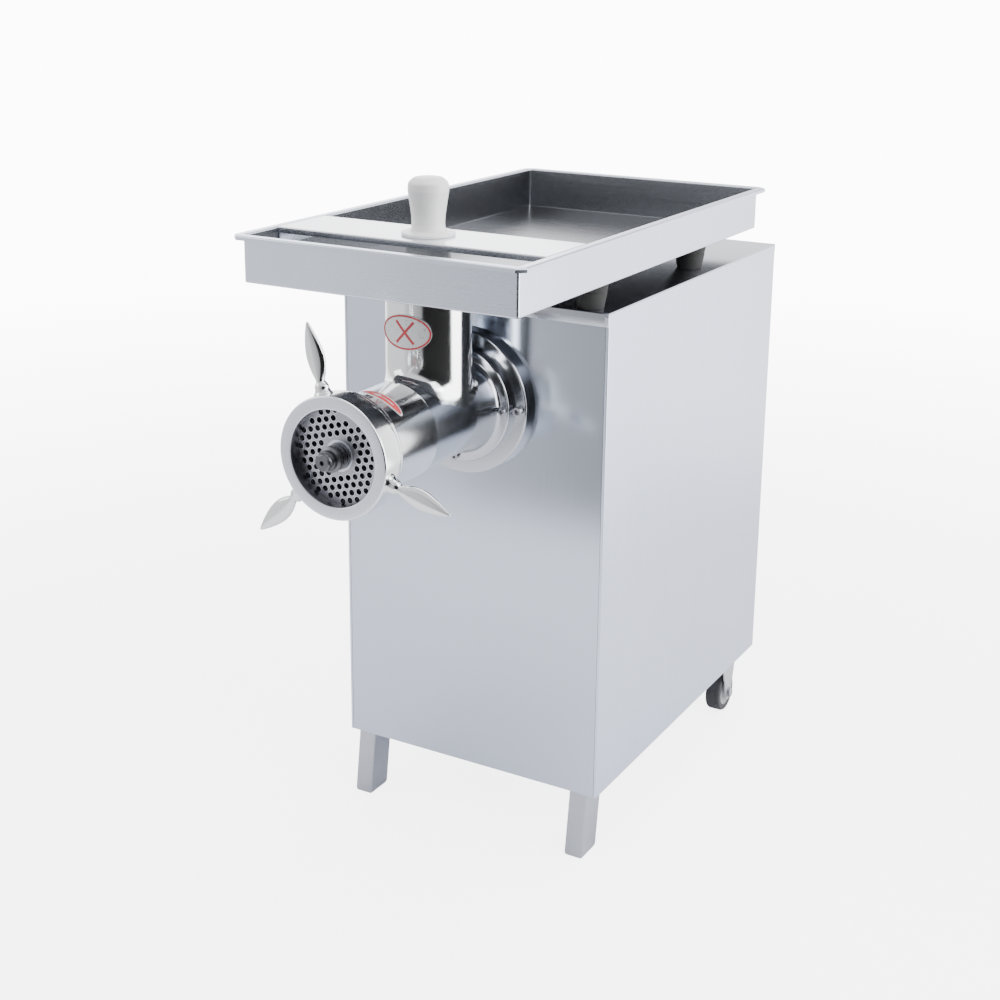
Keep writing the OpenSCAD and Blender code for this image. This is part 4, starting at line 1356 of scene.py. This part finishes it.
@dataclass
class FeedTray:
    """The lift-off tray, its guard bridge, collar and rubber supports."""

    at: Datum
    sheet: float = SHEET
    hole: float = 48.2
    drip: float = 6.0
    bridge_half: float = 52.0
    ram: float = 28.5
    support_x: float = 168.0
    support_ys: Point2 = (20.0, 340.0)

    def build(self) -> None:
        """Builds the tray and what carries it."""
        self._pan()
        self._bridge()
        self._collar()
        self._supports()

    def _loop(self, grow: float, z: float, corner: float,
              bow: float) -> list[Point3]:
        """Returns one level line of the rim.

        Args:
            grow: how far outside the walls it runs.
            z: its height.
            corner: the corner's reach.
            bow: 1 for an arc at the corner, 0 for a straight cut.
        """
        d = self.at
        a, y0, y1 = d.tray_half + grow, d.tray_front - grow, d.tray_rear + grow
        ring: list[Point3] = []
        for sx, sy, y in ((1, -1, y0), (1, 1, y1), (-1, 1, y1), (-1, -1, y0)):
            first = Vector((sx * (a - corner), y))
            last = Vector((sx * a, y - sy * corner))
            if sx * sy > 0:
                first, last = last, first
            centre = Vector((sx * (a - corner), y - sy * corner))
            for k in range(7):
                t = k / 6
                flat = first.lerp(last, t)
                turn = math.pi / 2 * t
                arc = centre + (first - centre) * math.cos(turn) \
                    + (last - centre) * math.sin(turn)
                p = flat.lerp(arc, bow)
                ring.append((p.x, p.y, z))
        return ring

    def _pan(self) -> None:
        """The folded pan with its turned-down lip and neck hole; its inside
        and underside get darker copies of its steel, as painted shade.
        """
        d = self.at
        line = rounded([(-5, d.tray), (0, d.tray), (0, d.rim - self.sheet),
                        (d.lip - self.sheet, d.rim - self.sheet),
                        (d.lip - self.sheet, d.rim - self.drip)],
                       [0, 3.5, 1.4, 0.9, 0])
        section = thicken(line, self.sheet)
        low = min(grow for grow, _ in section)
        def loop(grow: float, z: float) -> list[Point3]:
            """Returns the rim line, its corners cut off only on the lip."""
            share = smooth((grow - 1.0) / max(d.lip - 3.0, 1.0))
            corner = 3.5 + (d.lip * 0.85 - 3.5) * share + min(grow, 0.0) * 0.3
            return self._loop(grow, z, corner, 1 - 0.92 * share)
        shell = Shell()
        rings = [loop(grow, z) for grow, z in section]
        shell.loft(rings)
        bm = shell.bm
        bmesh.ops.remove_doubles(bm, verts=bm.verts, dist=WELD)
        hole = circle(self.hole, 96, (0, d.neck_y))
        for z in (d.tray, d.tray + self.sheet):
            ring = [v for v in bm.verts
                    if abs(v.co.z - z) < 1e-3 and
                    abs(max(abs(v.co.x) - d.tray_half - low,
                            d.tray_front - low - v.co.y,
                            v.co.y - d.tray_rear - low)) < 1.2]
            edges = [e for e in bm.edges if e.is_boundary
                     and e.verts[0] in ring and e.verts[1] in ring]
            verts = [bm.verts.new((u, v, z)) for u, v in hole]
            loop_edges = [bm.edges.new((verts[i], verts[(i + 1) % 96]))
                          for i in range(96)]
            bmesh.ops.triangle_fill(bm, use_beauty=True,
                                    edges=edges + loop_edges)
        shell.loft([[(u, v, z) for u, v in hole]
                    for z in (d.tray, d.tray + self.sheet)])
        obj = shell.finish("tray_sheet", TRAY_STEEL, "tray", "panel_steel",
                           ["tray_pan"], sharp=35)
        obj.data.materials.append(TRAY_INSIDE_PAINTED_SHADE.material())
        obj.data.materials.append(TRAY_UNDER_PAINTED_SHADE.material())
        bottom, brim = d.tray * MM, (d.rim - 2.2) * MM
        wall_x = (d.tray_half - 0.5) * MM
        front = (d.tray_front + 0.5) * MM + Shell.front
        rear = (d.tray_rear - 0.5) * MM + Shell.front
        # Painted shade: faces inside the walls take the darker inside copy,
        # the floor's underside the near-black copy.
        for poly in obj.data.polygons:
            x, y, z = poly.center
            if abs(x) < wall_x and front < y < rear and z < brim:
                poly.material_index = 1 if z > bottom + 0.0001 else 2

    def _bridge(self) -> None:
        """The guard across the tray, folded at front and rear, with its hole
        and end brackets.
        """
        d = self.at
        y0, y1 = d.neck_y - self.bridge_half, d.neck_y + self.bridge_half
        x = d.tray_half - self.sheet - 0.4
        line = rounded([(y1, d.rim - 8), (y1, d.rim), (y0, d.rim),
                        (y0, d.rim - 8)], 1.5)
        shell = Shell().prism(thicken(line, self.sheet), Axis.X, -x, x)
        obj = put("guard_sheet", shell.mesh("guard_sheet"))
        hole = Shell()
        hole.lathe([(0, d.rim - 20), (self.ram + 1, d.rim - 20),
                    (self.ram + 1, d.rim + 20), (0, d.rim + 20)], Axis.Z,
                   (0, d.neck_y), 96)
        cut(obj, hole, "hole")
        # The guard's near-white steel is painted light.
        register(obj, GUARD_PAINTED_LIGHT, "tray", "panel_steel", ["guard_bridge"])
        ends = Shell()
        for side in (-1, 1):
            a, b = side * (x - 1.2), side * (x + 0.3)
            ends.box((min(a, b), y0 + 1.6, d.rim - 24),
                     (max(a, b), y1 - 1.6, d.rim - self.sheet))
        ends.finish("guard_brackets", TRAY_STEEL, "tray", "panel_steel",
                    bevel=0.3)

    def _collar(self) -> None:
        """The spigot under the tray that sits in the feed neck."""
        d = self.at
        inner, top, foot = self.hole - 1.7, d.tray + 1.4, d.tray - 28
        line = rounded([(inner, top), (self.hole, top), (self.hole, foot),
                        (inner, foot)], 0.6, closed=True)
        shell = Shell().lathe(line, Axis.Z, (0, d.neck_y), 96, closed=True)
        shell.finish("collar_tube", TRAY_STEEL, "tray", "panel_steel",
                     ["tray_collar"])

    def _supports(self) -> None:
        """Four tapered rubber buffers with a seam near the top."""
        d = self.at
        h = d.tray - 0.1
        line = rounded([
            (0, d.top), (17.5, d.top), (18.3, d.top + 3), (21.6, h - 13),
            (20.9, h - 12), (20.9, h - 11), (21.8, h - 10), (23, h - 2),
            (22, h), (5.4, h), (5.4, h - 19), (0, h - 19)],
            [0, 1.2, 2, 0.6, 0.3, 0.3, 0.6, 1.2, 0.8, 0.4, 0, 0])
        shell = Shell()
        for sx in (-1, 1):
            for y in self.support_ys:
                shell.lathe(line, Axis.Z, (sx * self.support_x, y), 64)
        shell.finish("tray_buffers", RUBBER, "cabinet", "black_rubber",
                     ["tray_supports"])


@dataclass
class Stomper:
    """The white stomper: a turned grip on a stop disc and a plain ram."""

    at: Datum
    ram: float = 28.5
    disc: float = 34.5

    def build(self) -> None:
        """Builds the stomper."""
        d = self.at
        z0, low = d.rim + 0.2, d.head + 66
        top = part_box("stomper_grip")[1].z / MM
        grip = rounded([
            (0, z0), (self.disc, z0), (self.disc, z0 + 4), (22.5, z0 + 4.6),
            (21, z0 + 14), (21.6, z0 + 26), (24.0, z0 + 42), (26.2, z0 + 56),
            (25.6, top - 8), (19, top - 1.6), (8, top), (0, top)],
            [0, 1.2, 1.6, 5, 8, 10, 12, 6, 6, 8, 6, 0])
        shell = Shell().lathe(grip, Axis.Z, (0, d.neck_y), 96)
        shell.finish("stomper_handle", WHITE, "stomper", "white_plastic",
                     ["stomper_grip"], sharp=45)
        shell = Shell()
        shell.lathe(rounded([(0, low), (self.ram, low), (self.ram, z0),
                             (0, z0)], [0, 4, 0.4, 0]),
                    Axis.Z, (0, d.neck_y), 96)
        shell.finish("stomper_shaft", WHITE, "stomper", "white_plastic",
                     ["stomper_ram"], sharp=45)


@dataclass
class Controls:
    """The start and stop buttons on their bezel plate, on the hidden left
    side.
    """

    at: Datum
    y: float = 110.0
    heights: Point2 = (650.0, 690.0)
    plate_half: float = 24.0
    plate_reach: float = 26.0
    hole: float = 11.5

    def build(self) -> None:
        """Builds the controls."""
        x, r = -self.at.half_width, self.hole
        y0, y1 = self.y - self.plate_half, self.y + self.plate_half
        z0 = self.heights[0] - self.plate_reach
        z1 = self.heights[1] + self.plate_reach
        plate = rounded([(y0, z0), (y1, z0), (y1, z1), (y0, z1)], 5, True)
        shell = Shell().prism(plate, Axis.X, x - 2, x)
        obj = put("bezel_plate", shell.mesh("bezel_plate"))
        holes = Shell()
        for z in self.heights:
            holes.lathe([(0, x - 9), (r, x - 9), (r, x + 9), (0, x + 9)],
                        Axis.X, (self.y, z), 48)
        cut(obj, holes, "holes")
        register(obj, BLACK, "cabinet", "dark_plastic", ["control_bezel"])
        for z, name, finish, slot, out in (
                (self.heights[0], "start", GREEN, "green_plastic", 3.5),
                (self.heights[1], "stop", RED, "red_plastic", 5.0)):
            line = rounded([(0, x - out + 0.6), (8, x - out), (11.2, x - out),
                            (11.2, x + 9), (0, x + 9)], [0, 3, 1.4, 0.5, 0])
            shell = Shell().lathe(line, Axis.X, (self.y, z), 48)
            shell.finish(f"{name}_cap", finish, f"{name}_switch", slot,
                         [f"{name}_button"])


@dataclass
class Studio:
    """The pale floor, the soft light and the camera."""

    camera_place: Point3 = (1.0667, -1.9341, 1.2232)
    azimuth: float = 29.62
    elevation: float = 15.70
    roll: float = 0.554
    lens: float = 57.71
    shift_y: float = -0.10
    backdrop: float = 12.0
    floor_lift: float = 4.5
    sky: float = 1.1
    bands: tuple[Point2, ...] = (
        (-180, 2.0), (-156, 2.0), (-152, 4.5), (-125, 3.5), (-100, 1.2),
        (-34, 1.15), (-26, 0.85), (11, 0.45), (17, 0.02), (88, 0.025),
        (93, 7.0), (127, 7.0), (134, 2.0), (150, 2.8), (165, 2.5), (179, 2.0))

    def build(self) -> None:
        """Builds floor, lights, world and camera."""
        self._camera()
        self._floor()
        self._world()
        self._lights()

    def _camera(self) -> None:
        """A camera at the photographed viewing angle."""
        a, e, r = (math.radians(v) for v in
                   (self.azimuth, self.elevation, self.roll))
        back = Vector((math.sin(a) * math.cos(e), -math.cos(a) * math.cos(e),
                       math.sin(e)))
        right = Vector((math.cos(a), math.sin(a), 0))
        up = back.cross(right)
        right, up = (right * math.cos(r) + up * math.sin(r),
                     up * math.cos(r) - right * math.sin(r))
        data = bpy.data.cameras.new("camera")
        data.lens = self.lens
        data.sensor_width = 36.0
        data.shift_y = self.shift_y
        cam = put("camera", data)
        turn = Matrix((right, up, back)).transposed().to_4x4()
        cam.matrix_world = Matrix.Translation(self.camera_place) @ turn
        bpy.context.scene.camera = cam

    def _floor(self) -> None:
        """A wide pale floor that fades into the surround."""
        mesh = bpy.data.meshes.new("studio_floor")
        s = 30.0
        mesh.from_pydata([(-s, -s, 0), (s, -s, 0), (s, s, 0), (-s, s, 0)], [],
                         [(0, 1, 2, 3)])
        mat = bpy.data.materials.new("studio_floor")
        mat.use_nodes = True
        mat.node_tree.nodes.clear()
        tree = Tree(mat.node_tree)
        place = tree.node("ShaderNodeTexCoord").outputs["Object"]
        away = tree.node("ShaderNodeVectorMath", {0: place},
                         operation="LENGTH").outputs["Value"]
        paper = tree.node("ShaderNodeBsdfDiffuse", {
            "Color": (0.9, 0.9, 0.91, 1)}).outputs[0]
        wall = tree.node("ShaderNodeEmission", {
            "Color": self._bands(tree, place), "Strength": 1.0}).outputs[0]
        room = tree.node("ShaderNodeMixShader", {
            0: tree.ramp(away, 1.3, 2.3), 1: paper, 2: wall}).outputs[0]
        glow = tree.node("ShaderNodeEmission", {
            "Color": (1, 1, 1, 1), "Strength": self.floor_lift}).outputs[0]
        near = tree.node("ShaderNodeAddShader", {0: paper, 1: glow}).outputs[0]
        far = tree.node("ShaderNodeEmission", {
            "Color": (1, 1, 1, 1), "Strength": self.backdrop}).outputs[0]
        shown = tree.node("ShaderNodeMixShader", {
            0: tree.ramp(away, 0.7, 4.5), 1: near, 2: far}).outputs[0]
        seen = tree.node("ShaderNodeLightPath").outputs["Is Camera Ray"]
        both = tree.node("ShaderNodeMixShader", {
            0: seen, 1: room, 2: shown}).outputs[0]
        tree.node("ShaderNodeOutputMaterial", {"Surface": both})
        mesh.materials.append(mat)
        put("studio_floor", mesh)

    def _bands(self, tree: Tree,
               direction: bpy.types.NodeSocket) -> bpy.types.NodeSocket:
        """Returns the studio walls' brightness by compass direction."""
        split = tree.node("ShaderNodeSeparateXYZ", {0: direction}).outputs
        heading = tree.math("ARCTAN2", split["X"],
                            tree.math("MULTIPLY", split["Y"], -1.0))
        turns = tree.math("DIVIDE", heading, 2 * math.pi)
        share = tree.math("ADD", turns, 0.5)
        node = tree.node("ShaderNodeValToRGB", {"Fac": share})
        elements = node.color_ramp.elements
        elements.remove(elements[-1])
        for i, (angle, level) in enumerate(self.bands):
            spot = (angle + 180) / 360
            item = elements[0] if i == 0 else elements.new(spot)
            item.position = spot
            item.color = (level / 10, level / 10, level / 9.8, 1)
        return tree.node("ShaderNodeVectorMath", {
            0: node.outputs["Color"], "Scale": 10.0},
            operation="SCALE").outputs[0]

    def _world(self) -> None:
        """A soft overhead sky above studio walls."""
        world = bpy.data.worlds.new("studio")
        bpy.context.scene.world = world
        world.use_nodes = True
        back = world.node_tree.nodes["Background"]
        tree = Tree(world.node_tree)
        ray = tree.node("ShaderNodeTexCoord").outputs["Generated"]
        height = tree.node("ShaderNodeSeparateXYZ", {0: ray}).outputs["Z"]
        room = tree.blend(tree.ramp(height, 0.3, 0.6), self._bands(tree, ray),
                          (self.sky, self.sky, self.sky * 1.02, 1))
        seen = tree.node("ShaderNodeLightPath").outputs["Is Camera Ray"]
        white = (self.backdrop, self.backdrop, self.backdrop, 1)
        tree.link(tree.blend(seen, room, white), back.inputs["Color"])
        back.inputs["Strength"].default_value = 1.0

    def _lights(self) -> None:
        """Large soft lights above, right and left."""
        for name, place, aim, size, power in (
                ("key_right", (3.2, -0.6, 2.6), (0.1, 0.1, 0.4), 2.4, 70.0),
                ("fill_left", (-3.2, -1.8, 2.4), (0, -0.1, 0.5), 2.4, 40.0),
                ("top", (0.2, 0.3, 3.6), (0, 0, 0.5), 2.6, 55.0)):
            data = bpy.data.lights.new(name, "AREA")
            data.shape = "SQUARE"
            data.size = size
            data.energy = power
            lamp = put(name, data)
            lamp.location = place
            aim_at = Vector(aim) - Vector(place)
            lamp.rotation_euler = aim_at.to_track_quat("-Z", "Y").to_euler()


def dress_cad(frame: dict) -> None:
    """Gives every CAD node the finish of its material slot, save the auger
    core and the die plate, which get their own.
    """
    slots = {part["node"]: part["material_slot"]
             for part in frame["record"]["subparts"]}
    special = {"auger_core": DARK_STEEL, "die_plate": PLATE_STEEL}
    for name, obj in frame["nodes"].items():
        finish = special.get(name) or CAD_FINISHES[slots[name]]
        obj.data.materials.clear()
        obj.data.materials.append(finish.material())
        for poly in obj.data.polygons:
            poly.material_index = 0


def main() -> None:
    """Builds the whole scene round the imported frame."""
    logging.basicConfig(level=logging.INFO, format="%(name)s: %(message)s")
    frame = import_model()
    datum = Datum.read()
    LOG.info("datum %s", datum)
    dress_cad(frame)
    for part in (Cabinet(datum), RunningGear(datum), Head(datum),
                 Cutter(datum), FeedTray(datum), Stomper(datum),
                 Controls(datum), Studio()):
        part.build()


if __name__ == "__main__":
    main()
